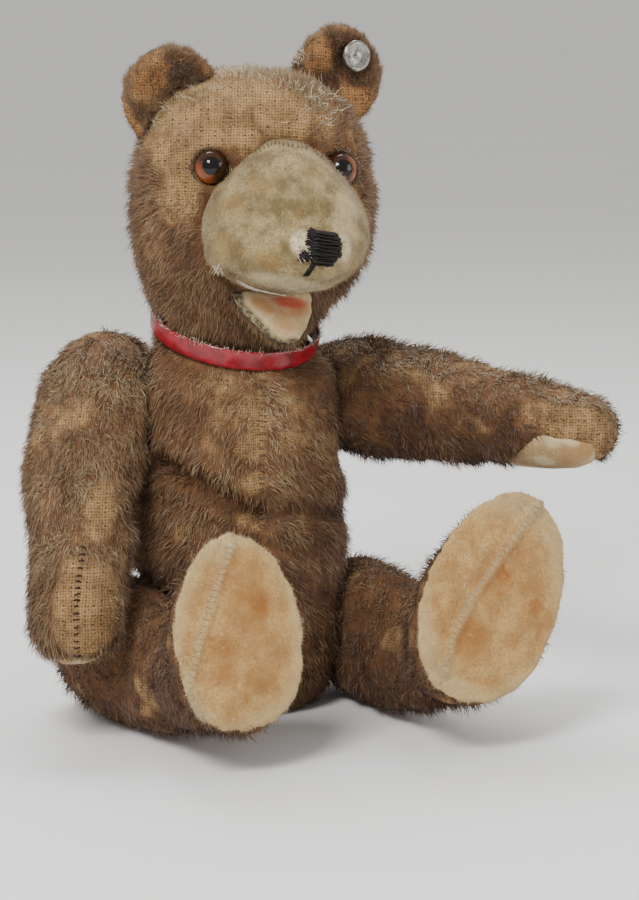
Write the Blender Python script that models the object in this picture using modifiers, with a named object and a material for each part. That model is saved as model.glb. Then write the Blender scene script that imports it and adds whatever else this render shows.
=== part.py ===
# A seated teddy bear in worn mohair, with five disc joints.
# It faces -Y, its own left side is +X, and it sits on the plane z = 0. Metres.
import math

import bmesh
import bpy
from mathutils import Matrix, Vector

# Cloth and clearances
CLOTH = 0.0015  # mohair cloth or velvet with its backing
GAP = 0.0003  # between pieces that are sewn or pressed together
SEAT_GAP = 0.00015  # from a joint's plane to the cloth on either side

# Body
BODY_HEIGHT = 0.1145  # floor to the middle of the neck joint
BODY_WIDTH = 0.066
BODY_FRONT = 0.0325  # from the body's axis to the belly
BODY_BACK = 0.0285
NECK_RADIUS = 0.0215
NECK_LEAN = math.radians(17)  # the neck's axis leans forward
NECK_TIP = math.radians(5)  # and towards the bear's left
FOLD_DEPTH = 0.003
FOLD_WIDTH = 0.0055
FOLD_MIDDLE = 0.057  # height of the belly's folds at the front seam
SHOULDER_SPARE = 0.0018
FOLD_RISE = 0.55  # how steeply the right-hand fold climbs round the side

# Height, half width, front, back and lean as shares of the five sizes above
BODY_SECTIONS = (
    (-0.035, 0.55, 0.52, 0.55, 0.0),
    (0.030, 0.84, 0.80, 0.86, 0.0),
    (0.130, 0.98, 0.96, 0.98, 0.0),
    (0.260, 1.01, 1.01, 1.00, 0.0),
    (0.400, 1.01, 1.01, 1.00, 0.0),
    (0.520, 0.98, 0.96, 1.00, 0.0),
    (0.640, 0.96, 0.92, 1.00, 0.0),
    (0.760, 0.96, 0.89, 1.00, 0.10),
    (0.860, 0.96, 0.85, 0.98, 0.35),
    (0.930, 0.92, 0.77, 0.92, 0.75),
)
NECK_RINGS = ((-0.050, 1.04), (-0.022, 1.0), (0.030, 1.0))  # rise, radius

# Head, measured from its own centre
HEAD_RISE = 0.0375  # neck joint to head centre, along the neck's axis
HEAD_TURN = math.radians(5)  # the head looks a little to its left
HEAD_WIDTH = 0.0735
HEAD_HALF_HEIGHT = 0.0415
HEAD_FRONT = 0.0285
HEAD_BACK = 0.0345
HEAD_ASIDE = 0.0095  # how far the throat is from the head's middle, at shift 1
# Height, shift to the back, half width, front and back: shares of the sizes above
HEAD_SECTIONS = (
    (-1.180, 0.38, 0.50, 0.58, 0.48),
    (-1.000, 0.34, 0.50, 0.66, 0.53),
    (-0.780, 0.20, 0.66, 0.84, 0.68),
    (-0.500, 0.07, 0.90, 0.95, 0.88),
    (-0.150, 0.00, 1.00, 1.00, 1.00),
    (0.200, 0.00, 0.99, 1.00, 1.00),
    (0.530, 0.00, 0.91, 0.92, 0.92),
    (0.800, 0.00, 0.71, 0.72, 0.71),
    (0.985, 0.00, 0.36, 0.40, 0.36),
)

# Muzzle: reach in front of the head's centre, drop, half width, half height
MUZZLE_REACH = 0.0525
MUZZLE_WIDTH = 0.046
MUZZLE_HEIGHT = 0.043
MUZZLE_EGG = 0.42  # how much narrower the muzzle's top is than its middle
MUZZLE_SECTIONS = (
    (0.240, 0.020, 0.95, 0.98),
    (0.430, 0.000, 1.03, 1.04),
    (0.620, -0.035, 1.00, 0.98),
    (0.800, -0.085, 0.84, 0.78),
    (0.920, -0.130, 0.60, 0.54),
    (0.985, -0.150, 0.32, 0.28),
)
NOSE_WIDTH = 0.0095
NOSE_HEIGHT = 0.0085
NOSE_THICK = 0.0026
NOSE_DROP = 0.15  # share of the muzzle's height
NOSE_RIDGES = 8
JAW_WIDTH = 0.0225
JAW_LENGTH = 0.024
JAW_THICK = 0.0062
JAW_HANG = math.radians(66)  # below level
JAW_FORWARD = 0.0235  # jaw centre, in front of and below the head's centre
JAW_DROP = 0.0268
LINING_WIDTH = 0.015
LINING_DEPTH = 0.012
LINING_THICK = 0.0035

# Ears, eyes and the stud
EAR_WIDTH = 0.030
EAR_HEIGHT = 0.031
EAR_THICK = 0.0095
EAR_CUP = 0.0042  # depth of the hollow
EAR_OUT = {"left": 0.0262, "right": 0.0250}
EAR_UP = {"left": 0.0375, "right": 0.0318}
EAR_BACK = 0.001
EAR_TURN = {"left": math.radians(8), "right": math.radians(24)}
EAR_SLANT = math.radians(24)
EYE_DIAMETER = 0.0104
EYE_OUT = {"left": 0.0182, "right": 0.0200}
EYE_FORWARD = {"left": 0.0220, "right": 0.0195}
EYE_UP = {"left": 0.0120, "right": 0.0135}
EYE_SPLAY = math.radians(22)
EYE_ROLL = math.radians(9)  # each eye is turned a little about its shank
SHANK_DIAMETER = 0.0014
SHANK_LENGTH = 0.009
STUD_DIAMETER = 0.0096
STUD_THICK = 0.0014
STUD_OUT = 0.0012  # from the ear's middle
STUD_UP = 0.0075
STUD_LIFT = 0.0012

# Collar
COLLAR_WIDTH = 0.0046
COLLAR_DROP = 0.0018  # below the neck joint, along its axis
COLLAR_THICK = 0.0012
COLLAR_PLAY = 0.0028  # between the neck and the band

# Arms, in the frame of the shoulder joint
ARM_LENGTH = 0.090
ARM_THICK = 0.0355
ARM_WIDTH = 0.035
SHOULDER_HEIGHT = BODY_HEIGHT - 0.023
SHOULDER_OUT = BODY_WIDTH / 2 - 0.0075
SHOULDER_BACK = 0.002
SHOULDER_TURN = math.radians(17)  # the pins point a little backwards
SHOULDER_SEAT = 0.021  # half size of the flat on the body
SHOULDER_SEAT_STRETCH = 1.5  # the flat is longer along the limb
ARM_SWING = {"left": math.radians(88), "right": math.radians(45)}
ARM_BEND = {"left": 0.0225, "right": 0.0}  # the left arm curves outwards
# Place along the arm, near face, far face, half width: shares of the three sizes
ARM_SECTIONS = (
    (-0.260, 0.18, 0.60, 0.22),
    (-0.190, 0.02, 0.82, 0.38),
    (-0.050, -0.18, 0.97, 0.49),
    (0.110, -0.18, 1.00, 0.50),
    (0.240, 0.00, 1.04, 0.49),
    (0.380, 0.10, 0.99, 0.45),
    (0.590, 0.17, 0.90, 0.38),
    (0.770, 0.12, 0.91, 0.38),
    (0.915, 0.14, 0.87, 0.32),
    (0.990, 0.30, 0.74, 0.20),
)
PAD_START = 0.66  # the paw pad, as shares of the arm's length
PAD_END = 0.985
PAD_WIDTH = 0.021
PAD_FACE = math.radians(12)  # the palm turns a little towards the body

# Legs, in the frame of the hip joint
LEG_LENGTH = 0.086  # hip joint to the middle of the sole
LEG_THICK = 0.028
LEG_HEIGHT = 0.0425
HIP_HEIGHT = 0.021
HIP_OUT = BODY_WIDTH / 2 - 0.008
HIP_TURN = math.radians(8.5)
HIP_SEAT = 0.0225
HIP_SEAT_STRETCH = 1.6
SOLE_TILT = math.radians(9)
FOOT_LIFT = {"left": 0.0055, "right": 0.0}
FOOT_ROLL = {"left": math.radians(26), "right": math.radians(3)}
FOOT_IN = {"left": -0.0010, "right": 0.0048}
FOOT_SPREAD = {"left": 1.16, "right": 1.03}  # the left sole is trodden wider
SOLE_EGG = 0.10  # how much narrower the sole is at the toes
INSOLE_THICK = 0.0012
THIGH_END = 0.036  # how far along the leg its inner side is flat
# Place along the leg, middle's height, near face, far face, half height
LEG_SECTIONS = (
    (-0.235, 0.00, 0.16, 0.76, 0.21),
    (-0.180, 0.00, -0.06, 1.00, 0.36),
    (-0.045, 0.00, -0.19, 1.15, 0.49),
    (0.120, -0.01, -0.19, 1.17, 0.505),
    (0.330, -0.02, -0.02, 1.00, 0.47),
    (0.520, -0.05, 0.04, 0.82, 0.40),
    (0.680, 0.03, 0.05, 0.86, 0.39),
    (0.790, 0.20, -0.02, 1.02, 0.49),
    (0.900, 0.39, -0.13, 1.15, 0.64),
    (0.990, 0.45, -0.17, 1.21, 0.675),
    (1.110, 0.45, -0.16, 1.20, 0.665),
)

# Disc joints
DISC_THICK = 0.002
SHOULDER_DISC = 0.009
HIP_DISC = 0.0115
NECK_DISC = 0.0145
WASHER_RADIUS = 0.0042
WASHER_THICK = 0.0006
PIN_WIRE = 0.0009
PIN_SPREAD = 0.0011  # between the middles of the pin's two legs
PIN_CURL = 0.0015
PIN_PLAY = 0.00035

# Colours: red, green, blue, then roughness and metallic
MATERIALS = {
    "mohair": ((0.17, 0.09, 0.045), 0.9, 0.0),
    "velvet": ((0.36, 0.28, 0.16), 0.85, 0.0),
    "pad_velvet": ((0.55, 0.34, 0.16), 0.85, 0.0),
    "red_lining": ((0.55, 0.10, 0.06), 0.8, 0.0),
    "thread": ((0.02, 0.018, 0.015), 0.6, 0.0),
    "glass": ((0.22, 0.07, 0.02), 0.05, 0.0),
    "red_band": ((0.55, 0.01, 0.02), 0.3, 0.0),
    "wood_wool": ((0.62, 0.47, 0.26), 0.95, 0.0),
    "card": ((0.36, 0.25, 0.15), 0.9, 0.0),
    "fibreboard": ((0.25, 0.15, 0.08), 0.85, 0.0),
    "steel": ((0.45, 0.44, 0.42), 0.4, 1.0),
}

SIDES = {"left": 1, "right": -1}
REACH = 0.15  # a cutting block's size, larger than any piece
OUTER_SIDES = 8  # corners of a limb's cage
BODY_SIDES = 12
HEAD_SIDES = 10
INNER_SIDES = 8
INNER_FIT = 0.965  # keeps the plain inner skins inside the rounded outer ones
ROUND_SIDES = 12  # facets of small round pieces
WASHER_SIDES = 8
BALL_SIDES = 12
BALL_RINGS = 6


def clear_scene():
    for old in list(bpy.data.objects):
        bpy.data.objects.remove(old, do_unlink=True)


def make_collection(name):
    made = bpy.data.collections.new(name)
    bpy.context.scene.collection.children.link(made)
    return made


def make_material(name, colour, roughness, metallic):
    material = bpy.data.materials.new(name)
    material.use_nodes = True
    shader = material.node_tree.nodes["Principled BSDF"]
    shader.inputs["Base Color"].default_value = (*colour, 1)
    shader.inputs["Roughness"].default_value = roughness
    shader.inputs["Metallic"].default_value = metallic
    material.diffuse_color = (*colour, 1)
    return material


clear_scene()
PARTS = make_collection("threadbare_bear")
CUTTERS = make_collection("cutters")
FINISH = {name: make_material(name, *look) for name, look in MATERIALS.items()}


def add_object(name, mesh, finish=None, parent=None, place=None):
    """A part with its material, or a cutter if it has none."""
    obj = bpy.data.objects.new(name, mesh)
    (PARTS if finish else CUTTERS).objects.link(obj)
    if finish:
        mesh.materials.append(FINISH[finish])
    else:
        obj.hide_render = True
        obj.display_type = "WIRE"
    obj.parent = parent
    if place is not None:
        obj.matrix_world = place
    return obj


def mesh_from(bm, name):
    bmesh.ops.recalc_face_normals(bm, faces=bm.faces)
    mesh = bpy.data.meshes.new(name)
    bm.to_mesh(mesh)
    bm.free()
    return mesh


def joint_frame(name, origin, outward, along):
    """An empty on a joint's axis: x is the pin's direction, y runs along the limb."""
    x = outward.normalized()
    y = (along - along.dot(x) * x).normalized()
    matrix = Matrix((x, y, x.cross(y))).transposed().to_4x4()
    matrix.translation = origin
    empty = bpy.data.objects.new(name, None)
    PARTS.objects.link(empty)
    empty.matrix_world = matrix
    return empty


def oval(centre, x_axis, y_axis, half_x, plus, minus, sides, egg=0.0):
    """Points round an oval whose half sizes differ between +y and -y."""
    points = []
    for step in range(sides):
        angle = 2 * math.pi * (step + 0.5) / sides
        c, s = math.cos(angle), math.sin(angle)
        points.append(
            centre + x_axis * half_x * c * (1 - egg * s) + y_axis * (plus if s > 0 else minus) * s
        )
    return points


def swell(sides):
    """What a cage's ring is enlarged by so that subdivision meets its nominal size."""
    return 3 / (2 + math.cos(2 * math.pi / sides))


def loft_mesh(name, rings, levels=0):
    """A closed skin over rings with equally many points, subdivided if levels is set."""
    bm = bmesh.new()
    loops = [[bm.verts.new(point) for point in ring] for ring in rings]
    for low, high in zip(loops, loops[1:]):
        for k in range(len(low)):
            j = (k + 1) % len(low)
            bm.faces.new((low[k], low[j], high[j], high[k]))
    bm.faces.new(loops[0])
    bm.faces.new(loops[-1])
    if not levels:
        bmesh.ops.triangulate(bm, faces=bm.faces, quad_method="FIXED")
    mesh = mesh_from(bm, name)
    if not levels:
        return mesh
    cage = bpy.data.objects.new(name + "_cage", mesh)
    CUTTERS.objects.link(cage)
    subdivision = cage.modifiers.new("soft", "SUBSURF")
    subdivision.levels = subdivision.render_levels = levels
    graph = bpy.context.evaluated_depsgraph_get()
    smooth = bpy.data.meshes.new_from_object(cage.evaluated_get(graph))
    bpy.data.objects.remove(cage)
    return smooth


def block(name, frame, axis, low, high):
    """A large block between two limits along one axis of a frame."""
    bm = bmesh.new()
    bmesh.ops.create_cube(bm, size=2 * REACH)
    for v in bm.verts:
        v.co[axis] = high if v.co[axis] > 0 else low
    return add_object(name, mesh_from(bm, name), place=frame)


def rod_mesh(name, radius, low, high, sides=ROUND_SIDES):
    """A cylinder along x."""
    bm = bmesh.new()
    bmesh.ops.create_cone(
        bm, cap_ends=True, segments=sides, radius1=radius, radius2=radius, depth=high - low
    )
    turn = Matrix.Rotation(math.pi / 2, 4, "Y")
    bmesh.ops.transform(bm, matrix=turn, verts=bm.verts)
    bmesh.ops.translate(bm, vec=((low + high) / 2, 0, 0), verts=bm.verts)
    return mesh_from(bm, name)


def rod(name, frame, radius, low, high, sides=ROUND_SIDES):
    return add_object(name, rod_mesh(name, radius, low, high, sides), place=frame)


def ball_mesh(name, half_sizes, segments=BALL_SIDES, rings=BALL_RINGS, shape=None):
    """A ball with its own half sizes; shape moves each point."""
    bm = bmesh.new()
    bmesh.ops.create_uvsphere(bm, u_segments=segments, v_segments=rings, radius=1)
    for v in bm.verts:
        if shape:
            v.co = shape(v.co.copy())
        v.co = Vector([v.co[k] * half_sizes[k] for k in range(3)])
    return mesh_from(bm, name)


def cut(obj, *cutters, operation="DIFFERENCE"):
    for cutter in cutters:
        boolean = obj.modifiers.new(cutter.name, "BOOLEAN")
        boolean.object = cutter
        boolean.operation = operation
        boolean.solver = "EXACT"


# Frames
WORLD = Matrix.Identity(4)
NECK_POINT = Vector((0, 0, BODY_HEIGHT))
NECK_AXIS = Vector((math.tan(NECK_TIP), -math.tan(NECK_LEAN), 1)).normalized()
NECK = joint_frame("neck_joint", NECK_POINT, NECK_AXIS, Vector((0, -1, 0)))
HEAD = Matrix.Translation(NECK_POINT + NECK_AXIS * HEAD_RISE) @ Matrix.Rotation(
    HEAD_TURN, 4, "Z"
)


def shoulder_frame(side):
    sign = SIDES[side]
    outward = Vector((sign * math.cos(SHOULDER_TURN), math.sin(SHOULDER_TURN), 0))
    forward = Vector((sign * math.sin(SHOULDER_TURN), -math.cos(SHOULDER_TURN), 0))
    swing = ARM_SWING[side]
    along = forward * math.sin(swing) - Vector((0, 0, 1)) * math.cos(swing)
    origin = Vector((sign * SHOULDER_OUT, SHOULDER_BACK, SHOULDER_HEIGHT))
    return joint_frame(f"shoulder_joint_{side}", origin, outward, along)


def hip_frame(side):
    sign = SIDES[side]
    outward = Vector((sign * math.cos(HIP_TURN), sign * math.sin(HIP_TURN), 0))
    forward = Vector((math.sin(HIP_TURN), -math.cos(HIP_TURN), 0))
    origin = Vector((sign * HIP_OUT, 0, HIP_HEIGHT))
    return joint_frame(f"hip_joint_{side}", origin, outward, forward)


SHOULDERS = {side: shoulder_frame(side) for side in SIDES}
HIPS = {side: hip_frame(side) for side in SIDES}


# Joint hardware. Distances along the pin are from the joint's plane.
DISC_NEAR = SEAT_GAP + CLOTH + GAP
DISC_FAR = DISC_NEAR + DISC_THICK
WASHER_NEAR = DISC_FAR + GAP
WASHER_FAR = WASHER_NEAR + WASHER_THICK
PIN_NEAR = WASHER_FAR + GAP
PIN_HOLE = (PIN_SPREAD + PIN_WIRE) / 2 + PIN_PLAY
PIN_TURN = PIN_NEAR + PIN_CURL + PIN_WIRE  # middle of the curls, along the pin
PIN_TIP = PIN_TURN + PIN_CURL + PIN_WIRE / 2
CURL_REACH = PIN_SPREAD / 2 + 2 * PIN_CURL + PIN_WIRE / 2


def drilled(name, finish, frame, parent, radius, low, high, sides):
    """A disc or washer on a pin, with the pin's hole through it."""
    bm = bmesh.new()
    for x, r in ((low, radius), (high, radius), (high, PIN_HOLE), (low, PIN_HOLE)):
        bm.verts.new((x, r, 0))
    bm.verts.ensure_lookup_table()
    edges = [bm.edges.new((bm.verts[k], bm.verts[(k + 1) % 4])) for k in range(4)]
    bmesh.ops.spin(
        bm,
        geom=edges,
        cent=(0, 0, 0),
        axis=(1, 0, 0),
        angle=2 * math.pi,
        steps=sides,
        use_merge=True,
    )
    return add_object(name, mesh_from(bm, name), finish, parent, frame)


def cotter_pin(name, frame):
    """A doubled wire: an eye on the body's side, two curled legs in the limb."""
    half = PIN_SPREAD / 2
    points = []
    for degrees in range(130, -91, -55):
        angle = math.radians(degrees)
        x = PIN_TURN + PIN_CURL * math.cos(angle)
        points.append((x, half + PIN_CURL + PIN_CURL * math.sin(angle)))
    points.append((-PIN_NEAR, half))
    for degrees in range(60, 301, 60):
        angle = math.radians(degrees)
        x = -PIN_TURN + PIN_CURL * math.cos(angle)
        points.append((x, PIN_CURL * math.sin(angle)))
    points += [(x, -z) for x, z in points[:6]][::-1]
    curve = bpy.data.curves.new(name, "CURVE")
    curve.dimensions = "3D"
    curve.bevel_depth = PIN_WIRE / 2
    curve.bevel_resolution = 1
    curve.use_fill_caps = True
    spline = curve.splines.new("POLY")
    spline.points.add(len(points) - 1)
    for point, (x, z) in zip(spline.points, points):
        point.co = (x, 0, z, 1)
    obj = bpy.data.objects.new(name, curve)
    PARTS.objects.link(obj)
    curve.materials.append(FINISH["steel"])
    obj.matrix_world = frame
    return obj


def disc_joint(name, empty, radius):
    """Discs, washers and pin of one joint; returns what clears them on either side."""
    frame = empty.matrix_world
    stack = (
        ("disc_inner", "fibreboard", radius, -DISC_FAR, -DISC_NEAR, ROUND_SIDES),
        ("washer_inner", "steel", WASHER_RADIUS, -WASHER_FAR, -WASHER_NEAR, WASHER_SIDES),
        ("disc_outer", "fibreboard", radius, DISC_NEAR, DISC_FAR, ROUND_SIDES),
        ("washer_outer", "steel", WASHER_RADIUS, WASHER_NEAR, WASHER_FAR, WASHER_SIDES),
    )
    for piece, finish, size, low, high, sides in stack:
        parent = empty if low > 0 else None
        drilled(f"{name}_{piece}", finish, frame, parent, size, low, high, sides)
    cotter_pin(f"{name}_cotter_pin", frame)
    wide = radius + GAP
    narrow = CURL_REACH + 2 * GAP
    end = PIN_TIP + 2 * GAP
    hole = rod(f"{name}_hole", frame, PIN_HOLE, -DISC_FAR, DISC_FAR)
    body_pockets = (
        rod(f"{name}_body_pocket", frame, wide, -DISC_FAR - GAP, 0.001),
        rod(f"{name}_body_pin_pocket", frame, narrow, -end, 0),
    )
    limb_pockets = (
        rod(f"{name}_limb_pocket", frame, wide, -0.001, DISC_FAR + GAP),
        rod(f"{name}_limb_pin_pocket", frame, narrow, 0, end),
    )
    return hole, body_pockets, limb_pockets


def fold(point):
    """How far the belly is drawn in at a point of its front."""
    if point.y > 0:
        return 0.0
    side = -point.x / (BODY_WIDTH / 2)
    height = FOLD_MIDDLE + max(0.0, side) ** 1.3 * FOLD_RISE * BODY_WIDTH / 2
    away = (point.z - height) / FOLD_WIDTH
    front = min(1.0, -point.y / (0.7 * BODY_FRONT)) ** 1.3
    strength = 1.0 if side > 0 else 0.65
    return FOLD_DEPTH * strength * front * math.exp(-away * away)


def lining_spare(height):
    """How much further in the body's inner skin lies under the folds and shoulders."""
    if height > 0.9:
        return SHOULDER_SPARE
    return FOLD_DEPTH if 0.3 < height < 0.7 else 0.0


def body_rings(offset, sides, grow):
    """Level rings up the body, the last one square to the neck."""
    rings = []
    for height, width, front, back, lean in BODY_SECTIONS:
        tilt = lean * NECK_LEAN
        spare = lining_spare(height) if offset > 0 else 0.0
        rings.append(
            oval(
                Vector((0, 0, height * BODY_HEIGHT - (offset if height > 0.9 else 0.0))),
                Vector((1, 0, 0)),
                Vector((0, math.cos(tilt), math.sin(tilt))),
                (width * BODY_WIDTH / 2 - offset - spare / 2) * grow,
                (back * BODY_BACK - offset) * grow,
                (front * BODY_FRONT - offset - spare) * grow,
                sides,
            )
        )
    sideways = Vector((0, -1, 0)).cross(NECK_AXIS).normalized() * -1
    across = NECK_AXIS.cross(sideways)
    for rise, spread in NECK_RINGS:
        radius = (NECK_RADIUS * spread - offset) * grow
        middle = NECK_POINT + NECK_AXIS * (rise * BODY_HEIGHT - offset)
        rings.append(oval(middle, sideways, across, radius, radius, radius, sides))
    return rings


def head_rings(offset, sides, grow):
    rings = []
    crown = HEAD_SECTIONS[-1][0]
    for height, shift, width, front, back in HEAD_SECTIONS:
        inset = 2.5 * offset if height == crown else 0.0
        rings.append(
            oval(
                Vector((-shift * HEAD_ASIDE, shift * HEAD_BACK, height * HEAD_HALF_HEIGHT - inset)),
                Vector((1, 0, 0)),
                Vector((0, 1, 0)),
                (width * HEAD_WIDTH / 2 - offset) * grow,
                (back * HEAD_BACK - offset) * grow,
                (front * HEAD_FRONT - offset) * grow,
                sides,
            )
        )
    return rings


def muzzle_rings(offset, sides, grow):
    rings = []
    for reach, drop, width, height in MUZZLE_SECTIONS:
        tip = offset if reach > 0.9 else 0.0
        half_height = (height * MUZZLE_HEIGHT / 2 - offset) * grow
        rings.append(
            oval(
                Vector((0, -reach * MUZZLE_REACH + tip, drop * MUZZLE_HEIGHT)),
                Vector((1, 0, 0)),
                Vector((0, 0, 1)),
                (width * MUZZLE_WIDTH / 2 - offset) * grow,
                half_height,
                half_height,
                sides,
                MUZZLE_EGG * (1 - 0.4 * reach),
            )
        )
    return rings


def arm_rings(side, offset, sides, grow):
    rings = []
    last = len(ARM_SECTIONS) - 1
    for index, (place, near, far, width) in enumerate(ARM_SECTIONS):
        inset = 2.2 * offset * ((index == 0) - (index == last))
        bend = ARM_BEND[side] * max(0.0, place) ** 1.5
        half = (far - near) / 2 * ARM_THICK
        middle = (far + near) / 2 * ARM_THICK + bend
        breadth = (width * ARM_WIDTH - offset) * grow
        rings.append(
            oval(
                Vector((middle, place * ARM_LENGTH + inset, 0)),
                Vector((1, 0, 0)),
                Vector((0, 0, 1)),
                (half - offset) * grow,
                breadth,
                breadth,
                sides,
            )
        )
    return rings


def leg_rings(side, offset, sides, grow):
    """Rings along the leg, turned and lifted towards the foot. The hip's z points
    down on the left and up on the right, so sign carries it upwards."""
    sign = -SIDES[side]
    rings = []
    for index, (place, rise, near, far, height) in enumerate(LEG_SECTIONS):
        inset = 2.2 * offset * (index == 0)
        foot = min(1.0, max(0.0, (place - 0.45) / 0.5))
        foot = foot * foot * (3 - 2 * foot)
        spread = 1 + (FOOT_SPREAD[side] - 1) * foot
        half = (far - near) / 2 * LEG_THICK * spread
        middle = (far + near) / 2 * LEG_THICK - FOOT_IN[side] * foot
        level = rise * LEG_HEIGHT + FOOT_LIFT[side] * foot
        roll = FOOT_ROLL[side] * foot
        up = Vector((math.sin(roll), 0, math.cos(roll) * sign))
        out = Vector((math.cos(roll), 0, -math.sin(roll) * sign))
        breadth = (height * LEG_HEIGHT * spread - offset) * grow
        rings.append(
            oval(
                Vector((middle, place * LEG_LENGTH + inset, level * sign)),
                out,
                up,
                (half - offset) * grow,
                breadth,
                breadth,
                sides,
                SOLE_EGG * foot,
            )
        )
    return rings


def outer_skin(name, rings, sides, *arguments):
    return loft_mesh(name, rings(*arguments, 0.0, sides, swell(sides)), levels=1)


def inner_skin(name, rings, offset, *arguments):
    return loft_mesh(name, rings(*arguments, offset, INNER_SIDES, INNER_FIT))


def room_skin(name, rings, sides):
    """The outer skin moved outwards by the gap that neighbours keep."""
    mesh = outer_skin(name, rings, sides)
    for v in mesh.vertices:
        v.co += v.normal * GAP * 1.3
    return mesh


LINER = CLOTH + GAP  # from the outside of a cover to what fills it


def make_body(joints):
    """Body cover and stuffing, with flat seats for the head and the limbs."""
    skin = outer_skin("body_cover", body_rings, BODY_SIDES)
    for v in skin.vertices:
        inward = Vector((-v.co.x, -v.co.y, 0))
        if inward.length > 0:
            v.co += inward.normalized() * fold(v.co)
    cover = add_object("body_cover", skin, "mohair")
    cavity = add_object("body_cavity", inner_skin("body_cavity", body_rings, CLOTH))
    filling = add_object(
        "body_stuffing",
        inner_skin("body_stuffing", body_rings, LINER + 2 * GAP),
        "wood_wool",
    )
    for obj, depth in ((cover, 0.0), (cavity, CLOTH), (filling, LINER)):
        name = obj.name
        cut(obj, block(f"{name}_floor", WORLD, 2, -REACH, depth))
        cut(obj, block(f"{name}_neck", NECK.matrix_world, 0, -SEAT_GAP - depth, REACH))
        for side in SIDES:
            for joint, empty, seat, stretch in (
                ("shoulder", SHOULDERS[side], SHOULDER_SEAT, SHOULDER_SEAT_STRETCH),
                ("hip", HIPS[side], HIP_SEAT, HIP_SEAT_STRETCH),
            ):
                label = f"{name}_{joint}_{side}_seat"
                flat = rod(label, empty.matrix_world, seat + depth, -SEAT_GAP - depth, REACH, 20)
                flat.scale.y = stretch
                cut(obj, flat)
    cut(cover, cavity)
    for hole, pockets, _ in joints:
        cut(cover, hole)
        cut(filling, *pockets)


def make_head(neck, sockets):
    """Head cover, muzzle and stuffing, which share one set of cutting solids."""
    hole, _, pockets = neck
    head_cavity = add_object(
        "head_cavity", inner_skin("head_cavity", head_rings, CLOTH), place=HEAD
    )
    cover = add_object(
        "head_cover", outer_skin("head_cover", head_rings, HEAD_SIDES), "mohair", NECK, HEAD
    )
    filling = add_object(
        "head_stuffing", inner_skin("head_stuffing", head_rings, LINER), "wood_wool", NECK, HEAD
    )
    for obj, depth in ((cover, 0.0), (head_cavity, CLOTH), (filling, LINER)):
        cut(obj, block(f"{obj.name}_neck", NECK.matrix_world, 0, -REACH, SEAT_GAP + depth))
    muzzle = add_object(
        "muzzle", outer_skin("muzzle", muzzle_rings, HEAD_SIDES), "velvet", NECK, HEAD
    )
    muzzle_room = add_object(
        "muzzle_room",
        room_skin("muzzle_room", muzzle_rings, HEAD_SIDES),
        place=HEAD,
    )
    muzzle_cavity = add_object(
        "muzzle_cavity", inner_skin("muzzle_cavity", muzzle_rings, CLOTH), place=HEAD
    )
    muzzle_filling = add_object(
        "muzzle_filling", inner_skin("muzzle_filling", muzzle_rings, LINER), place=HEAD
    )
    cut(cover, *sockets, head_cavity, muzzle_room, hole)
    cut(muzzle, *sockets, muzzle_cavity, head_cavity)
    cut(filling, muzzle_filling, operation="UNION")
    cut(filling, *pockets, *sockets)


def make_eyes():
    """Glass eyes, each with its wire shank set in the glass. Returns their sockets."""
    radius = EYE_DIAMETER / 2
    sockets = []
    for side, sign in SIDES.items():
        spot = Matrix.Translation((sign * EYE_OUT[side], -EYE_FORWARD[side], EYE_UP[side]))
        turn = Matrix.Rotation(-math.pi / 2 + sign * EYE_SPLAY, 4, "Z")
        place = HEAD @ spot @ turn @ Matrix.Rotation(EYE_ROLL, 4, "X")
        name = f"eye_{side}"
        eye = add_object(name, ball_mesh(name, (radius,) * 3), "glass", NECK, place)
        shank = rod(f"{name}_shank", place, SHANK_DIAMETER / 2, -SHANK_LENGTH - radius, 0, 6)
        cut(eye, shank, operation="UNION")
        room = radius + GAP
        socket = add_object(
            f"{name}_socket", ball_mesh(f"{name}_socket", (room,) * 3), place=place
        )
        shank_room = rod(
            f"{name}_shank_room", place, SHANK_DIAMETER / 2 + GAP, -SHANK_LENGTH - radius - GAP, 0, 6
        )
        cut(socket, shank_room, operation="UNION")
        sockets.append(socket)
    return sockets


def make_ears(head_room):
    """Cupped ears, seated on the head, and the stud in the left one."""
    for side, sign in SIDES.items():
        spot = Matrix.Translation((sign * EAR_OUT[side], EAR_BACK, EAR_UP[side]))
        turn = Matrix.Rotation(-sign * EAR_TURN[side] * -1, 4, "Z")
        slant = Matrix.Rotation(sign * EAR_SLANT, 4, "Y")
        place = HEAD @ spot @ turn @ slant
        name = f"ear_{side}"
        sizes = (EAR_WIDTH / 2, EAR_THICK / 2, EAR_HEIGHT / 2)
        ear = add_object(name, ball_mesh(name, sizes, 14, 8), "mohair", NECK, place)
        hollow_sizes = (sizes[0] * 0.74, EAR_CUP, sizes[2] * 0.74)
        hollow = add_object(
            f"{name}_hollow",
            ball_mesh(f"{name}_hollow", hollow_sizes),
            place=place @ Matrix.Translation((0, -EAR_THICK / 2, 0)),
        )
        cut(ear, hollow, head_room)
        if side == "left":
            make_stud(place)


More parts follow.
